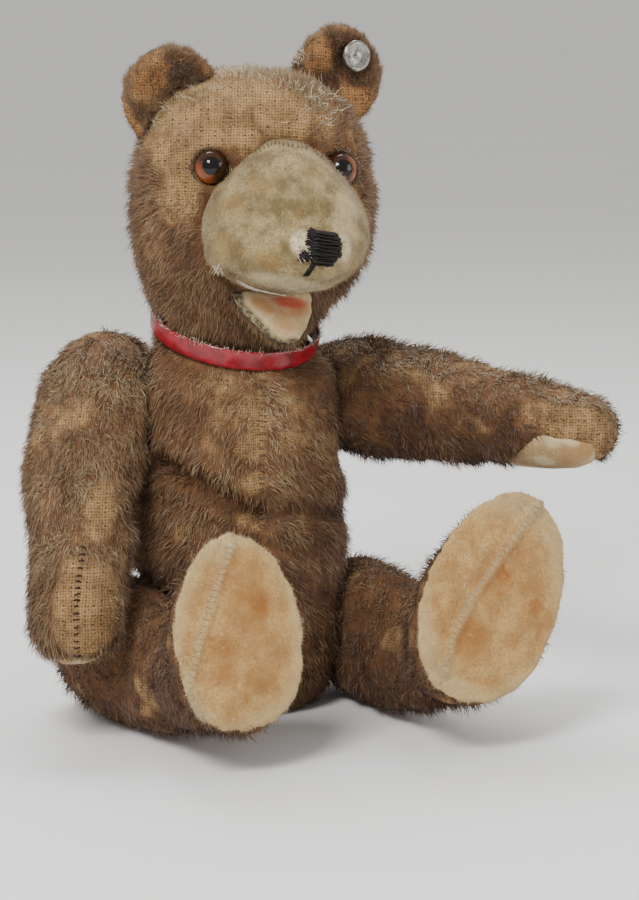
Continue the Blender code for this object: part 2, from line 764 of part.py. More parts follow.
def make_stud(ear_place):
    """A turned metal disc with a raised rim, standing in the ear's hollow."""
    radius = STUD_DIAMETER / 2
    rim = STUD_THICK * 0.35
    profile = (
        (0, -STUD_THICK + rim),
        (radius * 0.72, -STUD_THICK + rim),
        (radius * 0.80, -STUD_THICK),
        (radius * 0.93, -STUD_THICK),
        (radius, -STUD_THICK + rim),
        (radius, 0),
        (0, 0),
    )
    bm = bmesh.new()
    verts = [bm.verts.new((x, y, 0)) for x, y in profile]
    edges = [bm.edges.new(pair) for pair in zip(verts, verts[1:])]
    bmesh.ops.spin(
        bm,
        geom=edges,
        cent=(0, 0, 0),
        axis=(0, 1, 0),
        angle=2 * math.pi,
        steps=ROUND_SIDES,
        use_merge=True,
    )
    bmesh.ops.remove_doubles(bm, verts=bm.verts, dist=1e-6)
    place = ear_place @ Matrix.Translation(
        (STUD_OUT, -EAR_THICK / 2 - STUD_LIFT + EAR_CUP * 0.5, STUD_UP)
    )
    add_object("ear_stud", mesh_from(bm, "ear_stud"), "steel", NECK, place)


def make_mouth(head_room, muzzle_room):
    """The hanging lower jaw, and the red lining in the gap above it."""
    spot = Matrix.Translation((0, -JAW_FORWARD, -JAW_DROP))
    place = HEAD @ spot @ Matrix.Rotation(JAW_HANG, 4, "X")

    def tongue(point):
        """Flatter on top, where the mouth's inside is, and broad at the root."""
        point.x *= 1 + 0.18 * point.y
        point.z *= 0.55 if point.z > 0 else 1.0
        return point

    sizes = (JAW_WIDTH / 2, JAW_LENGTH / 2, JAW_THICK * 0.65)
    jaw = add_object(
        "lower_jaw", ball_mesh("lower_jaw", sizes, 14, 8, tongue), "velvet", NECK, place
    )
    jaw_sizes = [size + GAP for size in sizes]
    jaw_room = add_object(
        "lower_jaw_room", ball_mesh("lower_jaw_room", jaw_sizes, 14, 8, tongue), place=place
    )
    cut(jaw, head_room, muzzle_room)
    lining_place = HEAD @ Matrix.Translation((0, -JAW_FORWARD - 0.001, -MUZZLE_HEIGHT * 0.50))
    lining_sizes = (LINING_WIDTH / 2, LINING_DEPTH / 2, LINING_THICK / 2)
    lining = add_object(
        "mouth_lining",
        ball_mesh("mouth_lining", lining_sizes),
        "red_lining",
        NECK,
        lining_place,
    )
    cut(lining, head_room, muzzle_room, jaw_room)


def make_nose(muzzle_room):
    """Satin stitches: a ridged patch of thread on the tip of the muzzle."""

    def ridged(point):
        across = math.atan2(point.z, point.x)
        return point * (1 + 0.06 * math.cos(across * NOSE_RIDGES))

    sizes = (NOSE_WIDTH / 2, NOSE_THICK, NOSE_HEIGHT / 2)
    spot = Matrix.Translation((0, -MUZZLE_REACH * 0.985, -MUZZLE_HEIGHT * NOSE_DROP))
    nose = add_object(
        "nose_stitching",
        ball_mesh("nose_stitching", sizes, 16, 8, ridged),
        "thread",
        NECK,
        HEAD @ spot,
    )
    cut(nose, muzzle_room)


def make_collar():
    """A flat band round the neck, square to the neck's axis."""
    inner = NECK_RADIUS + COLLAR_PLAY
    outer = inner + COLLAR_THICK
    half = COLLAR_WIDTH / 2
    bm = bmesh.new()
    corners = ((-half, outer), (half, outer), (half, inner), (-half, inner))
    verts = [bm.verts.new((x - COLLAR_DROP, y, 0)) for x, y in corners]
    edges = [bm.edges.new((verts[k], verts[(k + 1) % 4])) for k in range(4)]
    bmesh.ops.spin(
        bm,
        geom=edges,
        cent=(0, 0, 0),
        axis=(1, 0, 0),
        angle=2 * math.pi,
        steps=2 * ROUND_SIDES,
        use_merge=True,
    )
    collar = add_object("collar", mesh_from(bm, "collar"), "red_band")
    collar.matrix_world = NECK.matrix_world


def make_arm(side, joint):
    """Arm cover with its paw pad let in on the palm side, and the stuffing."""
    hole, _, pockets = joint
    empty = SHOULDERS[side]
    frame = empty.matrix_world
    name = f"arm_cover_{side}"
    cover = add_object(
        name, outer_skin(name, arm_rings, OUTER_SIDES, side), "mohair", empty, frame
    )
    cavity = add_object(
        f"arm_cavity_{side}", inner_skin("arm_cavity", arm_rings, CLOTH, side), place=frame
    )
    filling = add_object(
        f"arm_stuffing_{side}",
        inner_skin("arm_stuffing", arm_rings, LINER + GAP, side),
        "wood_wool",
        empty,
        frame,
    )
    for obj, depth in ((cover, 0.0), (cavity, CLOTH), (filling, LINER)):
        cut(obj, block(f"{obj.name}_seat", frame, 0, -REACH, SEAT_GAP + depth))
    cut(cover, cavity)

    def pad_cutter(label, spare):
        palm = SIDES[side]
        middle = (PAD_START + PAD_END) / 2
        bend = ARM_BEND[side] * middle**1.5
        centre = Vector((0.52 * ARM_THICK + bend, middle * ARM_LENGTH, 0))
        face = Matrix.Rotation(-palm * PAD_FACE, 4, "Y")
        length = (PAD_END - PAD_START) / 2 * ARM_LENGTH + spare
        sizes = (PAD_WIDTH / 2 + spare, length, ARM_WIDTH)
        mesh = ball_mesh(label, sizes, 18, 6, lambda p: drum(p, palm))
        return add_object(label, mesh, place=frame @ Matrix.Translation(centre) @ face)

    pad_name = f"paw_pad_{side}"
    pad = add_object(
        pad_name, outer_skin(pad_name, arm_rings, OUTER_SIDES, side), "pad_velvet", empty, frame
    )
    cut(pad, cavity)
    cut(pad, pad_cutter(f"{pad_name}_shape", 0.0), operation="INTERSECT")
    cut(cover, pad_cutter(f"{pad_name}_room", GAP), hole)
    cut(filling, *pockets)


def drum(point, palm):
    """Turns a unit ball into an upright drum on the palm's side of its middle."""
    flat = math.hypot(point.x, point.y)
    if flat > 1e-6:
        point.x /= max(flat, 0.3)
        point.y /= max(flat, 0.3)
    point.z = (0.5 + 0.5 * point.z) * palm
    return point


def make_leg(side, joint):
    """Leg cover open at the sole, with insole card and velvet foot pad."""
    hole, _, pockets = joint
    empty = HIPS[side]
    frame = empty.matrix_world
    sign = -SIDES[side]
    sole = frame @ Matrix.Translation((0, LEG_LENGTH, sign * 0.45 * LEG_HEIGHT))
    sole = sole @ Matrix.Rotation(sign * SOLE_TILT, 4, "X")

    def between(label, rings, low, high, finish):
        mesh = rings(label)
        obj = add_object(label, mesh, finish, empty, frame)
        cut(obj, block(f"{label}_front", sole, 1, high, REACH))
        if low is not None:
            cut(obj, block(f"{label}_back", sole, 1, -REACH, low))
        return obj

    def skin(label):
        return outer_skin(label, leg_rings, OUTER_SIDES, side)

    def lining(label):
        return inner_skin(label, leg_rings, LINER, side)

    cover = between(f"leg_cover_{side}", skin, None, -GAP, "mohair")
    between(f"foot_pad_{side}", skin, 0.0, CLOTH, "pad_velvet")
    between(f"insole_{side}", lining, -GAP - INSOLE_THICK, -GAP, "card")
    filling = between(
        f"leg_stuffing_{side}", lining, None, -2 * GAP - INSOLE_THICK, "wood_wool"
    )
    cavity = add_object(
        f"leg_cavity_{side}", inner_skin("leg_cavity", leg_rings, CLOTH, side), place=frame
    )
    for obj, depth in ((cover, 0.0), (cavity, CLOTH), (filling, LINER)):
        seat = block(f"{obj.name}_seat", frame, 0, -REACH, SEAT_GAP + depth)
        for v in seat.data.vertices:
            v.co.y = min(v.co.y, THIGH_END)
        cut(obj, seat, block(f"{obj.name}_floor", WORLD, 2, -REACH, depth))
    cut(cover, cavity, hole)
    cut(filling, *pockets)


def make_rooms():
    """The head's and muzzle's outer forms with a gap, which their neighbours are cut by."""
    rooms = []
    for name, rings in (("head_room", head_rings), ("muzzle_outside", muzzle_rings)):
        rooms.append(add_object(name, room_skin(name, rings, HEAD_SIDES), place=HEAD))
    return rooms


def main():
    neck = disc_joint("neck", NECK, NECK_DISC)
    shoulders = {
        side: disc_joint(f"shoulder_{side}", SHOULDERS[side], SHOULDER_DISC) for side in SIDES
    }
    hips = {side: disc_joint(f"hip_{side}", HIPS[side], HIP_DISC) for side in SIDES}
    make_body([neck, *shoulders.values(), *hips.values()])
    make_collar()
    make_head(neck, make_eyes())
    head_room, muzzle_room = make_rooms()
    make_ears(head_room)
    make_mouth(head_room, muzzle_room)
    make_nose(muzzle_room)
    for side in SIDES:
        make_arm(side, shoulders[side])
        make_leg(side, hips[side])
    for obj in PARTS.objects:
        if obj.type == "MESH":
            obj.data.shade_smooth()


main()
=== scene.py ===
import math

import bmesh
import bpy
import numpy as np
from mathutils import Matrix, Vector
from mathutils.bvhtree import BVHTree


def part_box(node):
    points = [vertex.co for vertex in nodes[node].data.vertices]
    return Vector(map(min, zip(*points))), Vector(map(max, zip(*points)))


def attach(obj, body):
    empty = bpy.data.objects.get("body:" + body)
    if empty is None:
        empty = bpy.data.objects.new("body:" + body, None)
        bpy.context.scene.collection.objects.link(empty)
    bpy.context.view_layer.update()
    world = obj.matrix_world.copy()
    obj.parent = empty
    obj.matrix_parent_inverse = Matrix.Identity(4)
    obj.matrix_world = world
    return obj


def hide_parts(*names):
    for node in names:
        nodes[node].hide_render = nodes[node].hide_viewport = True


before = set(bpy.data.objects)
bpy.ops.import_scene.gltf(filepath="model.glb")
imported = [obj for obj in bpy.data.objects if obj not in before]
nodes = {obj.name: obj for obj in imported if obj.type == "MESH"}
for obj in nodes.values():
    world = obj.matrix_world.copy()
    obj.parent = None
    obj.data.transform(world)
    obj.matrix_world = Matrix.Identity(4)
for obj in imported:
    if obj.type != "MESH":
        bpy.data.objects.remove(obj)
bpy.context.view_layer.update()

pieces = {}  # every finished piece by name

# The camera stands where the photograph was taken from
photoView = {
    "aim": (0.0241, -0.0069, 0.0768),
    "distance": 0.9,
    "azimuth": -16,
    "elevation": 9,
    "lens": 120,
    "sensor": 36,
    "width": 639,
    "height": 900,
}
azimuth = math.radians(photoView["azimuth"])
elevation = math.radians(photoView["elevation"])
viewBack = np.array([
    math.sin(azimuth) * math.cos(elevation),
    -math.cos(azimuth) * math.cos(elevation),
    math.sin(elevation),
])
viewRight = np.array([math.cos(azimuth), math.sin(azimuth), 0.0])
viewUp = np.cross(viewBack, viewRight)
viewPoint = np.array(photoView["aim"]) + viewBack * photoView["distance"]
focal = photoView["lens"] / photoView["sensor"] * photoView["height"]  # in pixels


def placeCamera():
    data = bpy.data.cameras.new("photoCamera")
    data.lens = photoView["lens"]
    data.sensor_width = photoView["sensor"]
    camera = bpy.data.objects.new("photoCamera", data)
    bpy.context.scene.collection.objects.link(camera)
    camera.location = viewPoint
    camera.rotation_euler = Vector(-viewBack).to_track_quat("-Z", "Y").to_euler()
    bpy.context.scene.camera = camera


def photoPlace(points):
    # where points appear in the photograph, in pixels
    away = points - viewPoint
    depth = -(away @ viewBack)
    across = photoView["width"] / 2 + focal * (away @ viewRight) / depth
    down = photoView["height"] / 2 - focal * (away @ viewUp) / depth
    return np.stack([across, down], 1)


def rayThrough(across, down):
    ray = (
        -viewBack * focal
        + viewRight * (across - photoView["width"] / 2)
        - viewUp * (down - photoView["height"] / 2)
    )
    return Vector(viewPoint), Vector(ray / np.linalg.norm(ray))


placeCamera()
print("camera placed")

# Small helpers on arrays of points


def smoothStep(low, high, value):
    t = np.clip((value - low) / (high - low), 0, 1)
    return t * t * (3 - 2 * t)


noiseTurn = np.array(Matrix.Rotation(0.9, 3, Vector((0.4, 0.7, 0.6))))


def cloudNoise(points, size, seed=0):
    # smooth noise from 0 to 1, the same in every run
    cells = points @ noiseTurn / size + seed * 17.31
    base = np.floor(cells).astype(np.int64)
    part = cells - base
    part = part * part * (3 - 2 * part)
    total = np.zeros(len(points))
    for corner in range(8):
        step = np.array([corner & 1, corner >> 1 & 1, corner >> 2 & 1])
        at = base + step
        mixed = (at[:, 0] * 73856093 ^ at[:, 1] * 19349663 ^ at[:, 2] * 83492791) & 0x7FFFFFFF
        mixed = (mixed * 1103515245 + 12345) & 0x7FFFFFFF
        mixed = ((mixed ^ mixed >> 13) * 1103515245 + 977) & 0x7FFFFFFF
        weight = np.prod(np.where(step == 1, part, 1 - part), axis=1)
        total += (mixed >> 8 & 0xFFFF) / 65535 * weight
    return total


def rubbedSpots(points, seed):
    # where the nap has rubbed away by itself, with a ragged edge
    cloud = 0.62 * cloudNoise(points, 0.014, seed) + 0.38 * cloudNoise(points, 0.005, seed + 0.5)
    return smoothStep(0.60, 0.78, cloud) * 0.5


def unit(vectors):
    return vectors / np.maximum(np.linalg.norm(vectors, axis=1, keepdims=True), 1e-12)


def unitOf(vector):
    return unit(np.array([vector], float))[0]


def lumps(points, *layers):
    # a soft unevenness, each layer with its height, size and seed
    return sum(height * (cloudNoise(points, size, seed) - 0.5) for height, size, seed in layers)


def swirl(points, size, seed):
    # a smoothly changing direction
    return np.stack([cloudNoise(points, size, seed + k) - 0.5 for k in range(3)], 1)


def nearLine(places, line):
    # distance from each place to a bent line, and how far along it the nearest spot is
    line = np.array(line, float)
    best = np.full(len(places), 1e9)
    along = np.zeros(len(places))
    steps = np.linalg.norm(np.diff(line, axis=0), axis=1)
    done = 0.0
    for start, end, step in zip(line, line[1:], steps):
        t = np.clip(((places - start) @ (end - start)) / step**2, 0, 1)
        away = np.linalg.norm(places - start - t[:, None] * (end - start), axis=1)
        closer = away < best
        best = np.where(closer, away, best)
        along = np.where(closer, done + t * step, along)
        done += step
    return best, along / done


def patches(places, spots):
    # 0 to 1: inside any of the ovals (across, down, half width, half height, turn, strength)
    total = np.zeros(len(places))
    for across, down, halfWidth, halfHeight, turn, strength in spots:
        c, s = math.cos(math.radians(turn)), math.sin(math.radians(turn))
        x, y = places[:, 0] - across, places[:, 1] - down
        away = np.hypot((x * c + y * s) / halfWidth, (y * c - x * s) / halfHeight)
        total = np.maximum(total, strength * (1 - smoothStep(0.55, 1.25, away)))
    return total


def facing(normals):
    return smoothStep(-0.05, 0.25, normals @ viewBack)


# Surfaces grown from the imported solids


def meshArrays(obj):
    mesh = obj.data
    points = np.empty(len(mesh.vertices) * 3)
    mesh.vertices.foreach_get("co", points)
    normals = np.empty(len(mesh.vertices) * 3, np.float32)
    mesh.vertices.foreach_get("normal", normals)
    return points.reshape(-1, 3), normals.reshape(-1, 3).astype(float)


def setPoints(obj, points):
    obj.data.vertices.foreach_set("co", points.astype(np.float32).ravel())
    obj.data.update()


def newObject(name, mesh):
    obj = bpy.data.objects.new(name, mesh)
    bpy.context.scene.collection.objects.link(obj)
    return obj


def appliedModifiers(obj):
    graph = bpy.context.evaluated_depsgraph_get()
    mesh = bpy.data.meshes.new_from_object(obj.evaluated_get(graph))
    obj.modifiers.clear()
    obj.data = mesh


def softForm(name, nodeNames, voxel, rounds):
    # one smooth skin round several solids
    bm = bmesh.new()
    for nodeName in nodeNames:
        bm.from_mesh(nodes[nodeName].data)
    bmesh.ops.remove_doubles(bm, verts=bm.verts, dist=1e-6)
    mesh = bpy.data.meshes.new(name)
    bm.to_mesh(mesh)
    bm.free()
    obj = newObject(name, mesh)
    remesh = obj.modifiers.new("skin", "REMESH")
    remesh.mode = "VOXEL"
    remesh.voxel_size = voxel
    remesh.use_smooth_shade = True
    appliedModifiers(obj)
    bm = bmesh.new()
    bm.from_mesh(obj.data)
    for _ in range(rounds):
        bmesh.ops.smooth_vert(
            bm, verts=bm.verts, factor=0.5, use_axis_x=True, use_axis_y=True, use_axis_z=True
        )
    keepLargest(bm)
    bm.to_mesh(obj.data)
    bm.free()
    obj.data.shade_smooth()
    return obj


def keepLargest(bm):
    # drops the little skins of pockets inside
    left = set(bm.verts)
    islands = []
    while left:
        seed = left.pop()
        island, front = [seed], [seed]
        while front:
            vert = front.pop()
            for edge in vert.link_edges:
                other = edge.other_vert(vert)
                if other in left:
                    left.discard(other)
                    island.append(other)
                    front.append(other)
        islands.append(island)
    islands.sort(key=len)
    for island in islands[:-1]:
        bmesh.ops.delete(bm, geom=island, context="VERTS")


def moved(obj, shape):
    # pushes each point out along its normal by what shape gives
    points, normals = meshArrays(obj)
    setPoints(obj, points + normals * shape(points, normals)[:, None])


clothLook = {
    "frames": 16, "pressure": 5.0, "mass": 0.002, "stiffness": 8.0, "bending": 0.2,
    "quality": 2,
    "reach": 0.0016,  # held where a neighbour is nearer than this
    "shrink": 0.0001,  # it swells from a slightly smaller shape
    "cap": 0.0022,  # no point moves further than this
}


def swellAsCloth(obj, neighbours):
    # lets the stuffed skin swell under pressure, and holds it where a neighbour touches it
    scene = bpy.context.scene
    points, normals = meshArrays(obj)
    held = closeTo(points, neighbours, clothLook["reach"])[:, None]
    start = points - normals * clothLook["shrink"] * (1 - held)
    setPoints(obj, start)
    cloth = obj.modifiers.new("swell", "CLOTH")
    cloth.settings.quality = clothLook["quality"]
    cloth.settings.mass = clothLook["mass"]
    cloth.settings.tension_stiffness = clothLook["stiffness"]
    cloth.settings.compression_stiffness = clothLook["stiffness"]
    cloth.settings.bending_stiffness = clothLook["bending"]
    cloth.settings.use_pressure = True
    cloth.settings.uniform_pressure_force = clothLook["pressure"]
    cloth.settings.effector_weights.gravity = 0
    cloth.collision_settings.use_collision = False
    for frameNumber in range(1, clothLook["frames"] + 1):
        scene.frame_set(frameNumber)
    swollen = obj.evaluated_get(bpy.context.evaluated_depsgraph_get()).to_mesh()
    after = np.empty(len(points) * 3)
    swollen.vertices.foreach_get("co", after)
    move = after.reshape(-1, 3) - start
    obj.modifiers.remove(cloth)
    scene.frame_set(1)
    far = np.linalg.norm(move, axis=1, keepdims=True)
    usual, most = float(np.median(far)) * 1000, float(far.max()) * 1000
    print("  swelled", obj.name, "by", round(usual, 2), "mm,", round(most, 2), "at most")
    move *= np.minimum(1, clothLook["cap"] / np.maximum(far, 1e-9)) * (1 - held)
    setPoints(obj, start + move)


def noteOnSurface(obj, name, values):
    layer = obj.data.attributes.new(name, "FLOAT", "POINT")
    layer.data.foreach_set("value", values.astype(np.float32))


def faceCorners(mesh):
    corners = np.empty(len(mesh.loops), np.int32)
    mesh.loops.foreach_get("vertex_index", corners)
    counts = np.empty(len(mesh.polygons), np.int32)
    mesh.polygons.foreach_get("loop_total", counts)
    return corners, counts


def keepMap(mesh, name, uv):
    layer = mesh.uv_layers.new(name=name)
    layer.data.foreach_set("uv", uv.astype(np.float32).ravel())


def layRoundMap(obj, radius):
    # the cloth unrolled from round the upright middle, in metres
    mesh = obj.data
    points, _ = meshArrays(obj)
    corners, counts = faceCorners(mesh)
    face = np.repeat(np.arange(len(counts)), counts)
    angle = np.arctan2(points[:, 0], -points[:, 1])
    uv = np.stack([angle * radius, points[:, 2]], 1)[corners]
    turn = 2 * math.pi * radius
    highest = np.full(len(counts), -1e9)
    np.maximum.at(highest, face, uv[:, 0])
    uv[:, 0] += turn * (highest[face] - uv[:, 0] > turn / 2)
    keepMap(mesh, "weave", uv)


def layBoxMap(obj):
    # the cloth laid flat from the front, the side or above, whichever a face looks to most
    mesh = obj.data
    axes = np.stack([viewRight, viewUp, viewBack], 1)
    points, _ = meshArrays(obj)
    corners, counts = faceCorners(mesh)
    ways = np.empty(len(mesh.polygons) * 3, np.float32)
    mesh.polygons.foreach_get("normal", ways)
    ways = np.abs(ways.reshape(-1, 3) @ axes) * (1.0, 1.0, 1.35)
    side = np.repeat(ways.argmax(1), counts)
    place = (points @ axes)[corners]
    uv = np.empty((len(place), 2))
    for way, kept in enumerate(([2, 1], [0, 2], [0, 1])):
        uv[side == way] = place[side == way][:, kept]
    keepMap(mesh, "weave", uv)


# Pile: short flat blades of hair, combed and worn

hairTones = np.array([
    (0.028, 0.010, 0.005),
    (0.082, 0.035, 0.015),
    (0.165, 0.084, 0.036),
    (0.250, 0.155, 0.072),
    (0.365, 0.268, 0.140),
    (0.600, 0.500, 0.330),
])


def toneColour(tone):
    stops = np.linspace(0, 1, len(hairTones))
    return np.stack([np.interp(tone, stops, hairTones[:, k]) for k in range(3)], 1)


def growPile(name, surface, pile, comb, look, skin, seed):
    # comb gives directions, look gives density, length and tone, each for points and normals
    rng = np.random.default_rng(seed)
    mesh = surface.data
    mesh.calc_loop_triangles()
    triangles = np.empty(len(mesh.loop_triangles) * 3, np.int32)
    mesh.loop_triangles.foreach_get("vertices", triangles)
    triangles = triangles.reshape(-1, 3)
    points, normals = meshArrays(surface)
    a, b, c = (points[triangles[:, k]] for k in range(3))
    area = np.linalg.norm(np.cross(b - a, c - a), axis=1) / 2
    density, _, _ = look(points, normals)
    share = area * density[triangles].mean(1)
    wanted = int(pile["blades"])
    chosen = np.searchsorted(np.cumsum(share) / share.sum(), rng.random(wanted))
    chosen = np.clip(chosen, 0, len(triangles) - 1)
    u, v = rng.random(wanted), rng.random(wanted)
    flip = u + v > 1
    u, v = np.where(flip, 1 - u, u), np.where(flip, 1 - v, v)
    corners = triangles[chosen]
    weights = np.stack([1 - u - v, u, v], 1)[:, :, None]
    roots = (points[corners] * weights).sum(1)
    out = unit((normals[corners] * weights).sum(1))
    _, length, tone = look(roots, out)
    flow = comb(roots, out)
    flow = unit(flow - out * (flow * out).sum(1)[:, None])
    tuft = swirl(roots, pile["tuft"], seed + 3)
    fine = swirl(roots, pile["tuft"] * 0.35, seed + 6)
    stray = rng.normal(0, 1, (wanted, 3))
    lift = pile["lift"] * (0.6 + 0.8 * rng.random(wanted))[:, None]
    first = unit(
        flow * (1 - lift) + out * lift + tuft * pile["clump"] + fine * pile["clump"] * 0.6
        + stray * pile["stray"]
    )
    first = unit(first + out * np.maximum(0, 0.12 - (first * out).sum(1))[:, None])
    second = unit(
        first + flow * pile["curl"] + stray[:, [1, 2, 0]] * pile["stray"] * 1.2
        + np.array([0, 0, -pile["droop"]]) + tuft * pile["clump"] * 0.5
    )
    low = (second * out).sum(1)
    second = unit(second + out * np.maximum(0, -0.02 - low)[:, None])
    length = length * (0.55 + 0.75 * rng.random(wanted))
    side = unit(np.cross(first, out) + 0.35 * stray[:, [2, 0, 1]])
    half = pile["width"] / 2 * (0.7 + 0.6 * rng.random(wanted))[:, None]
    roots = roots - out * 0.0002
    middle = roots + first * (length * 0.5)[:, None]
    tip = middle + second * (length * 0.55)[:, None]
    if pile.get("stubble"):  # one triangle a hair is enough for stubble
        verts = np.stack([roots - side * half, roots + side * half, tip], 1).reshape(-1, 3)
        shape, starts, along, apart = [0, 1, 2], [0], [0.0, 0.0, 1.0], [-1, 1, 0]
    else:
        verts = np.stack([
            roots - side * half, roots + side * half,
            middle + side * half * 0.8, middle - side * half * 0.8,
            tip,
        ], 1).reshape(-1, 3)
        shape, starts = [0, 1, 2, 3, 3, 2, 4], [0, 4]
        along, apart = [0.0, 0.0, 0.55, 0.55, 1.0], [-1, 1, 1, -1, 0]
    hair = np.arange(wanted)[:, None]
    loops = (hair * len(along) + np.array(shape)).ravel()
    starts = (hair * len(shape) + np.array(starts)).ravel()
    pileMesh = bpy.data.meshes.new(name)
    pileMesh.vertices.add(len(verts))
    pileMesh.vertices.foreach_set("co", verts.astype(np.float32).ravel())
    pileMesh.loops.add(len(loops))
    pileMesh.loops.foreach_set("vertex_index", loops.astype(np.int32))
    pileMesh.polygons.add(len(starts))
    pileMesh.polygons.foreach_set("loop_start", starts.astype(np.int32))
    pileMesh.update(calc_edges=True)
    tone = np.clip(tone + rng.normal(0, pile["mixed"], wanted), 0.02, 0.98)
    along = np.array(along)
    shade = pile["rootShade"] + (1 - pile["rootShade"]) * along
    colours = np.ones((wanted, len(along), 4))
    colours[:, :, :3] = toneColour(tone)[:, None, :] * shade[None, :, None]
    layer = pileMesh.attributes.new("pileColour", "FLOAT_COLOR", "POINT")
    layer.data.foreach_set("color", colours.astype(np.float32).ravel())
    # blades of one tone share a place on the bake's map: tone across, root to tip upwards
    apart = np.array(apart) * 0.004
    across = 0.01 + 0.98 * tone[:, None] + apart[None, :]
    upward = np.broadcast_to(0.02 + 0.96 * along, across.shape)
    uv = np.stack([across, upward], 2).reshape(-1, 2)[loops]
    keepMap(pileMesh, "OFBake", uv)
    pileMesh.shade_smooth()
    pileMesh.materials.append(skin)
    return newObject(name, pileMesh)


def thinned(density, hidden):
    # no hair at the skin's own points that a neighbour covers
    return density * (1 - hidden) if len(density) == len(hidden) else density


def lieAbove(obj, floor):
    points, _ = meshArrays(obj)
    points[:, 2] = np.maximum(points[:, 2], floor)
    setPoints(obj, points)


# Materials


def startMaterial(name, roughness=0.8, **sockets):
    material = bpy.data.materials.new(name)
    material.use_nodes = True
    tree = material.node_tree
    shader = tree.nodes["Principled BSDF"]
    shader.inputs["Roughness"].default_value = roughness
    for socket, value in sockets.items():
        shader.inputs[socket.replace("_", " ")].default_value = value
    return material, tree, shader


def addNode(tree, kind, **settings):
    node = tree.nodes.new(kind)
    for key, value in settings.items():
        if key in node.inputs:
            node.inputs[key].default_value = value
        else:
            setattr(node, key, value)
    return node


def mixColours(tree, factor, first, second):
    # each of factor, first and second is a socket or a plain value
    mix = tree.nodes.new("ShaderNodeMix")
    mix.data_type = "RGBA"
    for index, value in ((0, factor), (6, first), (7, second)):
        if isinstance(value, bpy.types.NodeSocket):
            tree.links.new(value, mix.inputs[index])
        elif index == 0:
            mix.inputs[0].default_value = value
        else:
            mix.inputs[index].default_value = (*value, 1)
    return mix.outputs[2]


def sumUp(tree, operation, first, second, clamp=False):
    node = tree.nodes.new("ShaderNodeMath")
    node.operation = operation
    node.use_clamp = clamp
    for index, value in enumerate((first, second)):
        if isinstance(value, bpy.types.NodeSocket):
            tree.links.new(value, node.inputs[index])
        else:
            node.inputs[index].default_value = value
    return node.outputs[0]


def rangeOf(tree, value, low, high, toLow=0.0, toHigh=1.0):
    node = addNode(tree, "ShaderNodeMapRange", interpolation_type="SMOOTHSTEP")
    for index, number in enumerate((low, high, toLow, toHigh), 1):
        node.inputs[index].default_value = number
    tree.links.new(value, node.inputs[0])
    return node.outputs[0]


def objectNoise(tree, size, detail=3.0, roughness=0.55, distortion=0.0):
    place = tree.nodes.new("ShaderNodeTexCoord")
    noise = tree.nodes.new("ShaderNodeTexNoise")
    noise.inputs["Scale"].default_value = 1 / size
    noise.inputs["Detail"].default_value = detail
    noise.inputs["Roughness"].default_value = roughness
    noise.inputs["Distortion"].default_value = distortion
    tree.links.new(place.outputs["Object"], noise.inputs["Vector"])
    return noise.outputs["Fac"]


def surfaceNote(tree, name):
    note = addNode(tree, "ShaderNodeAttribute", attribute_name=name)
    return note.outputs["Fac"]


def addBump(tree, shader, height, strength, distance):
    bump = tree.nodes.new("ShaderNodeBump")
    bump.inputs["Strength"].default_value = strength
    bump.inputs["Distance"].default_value = distance
    tree.links.new(height, bump.inputs["Height"])
    tree.links.new(bump.outputs["Normal"], shader.inputs["Normal"])


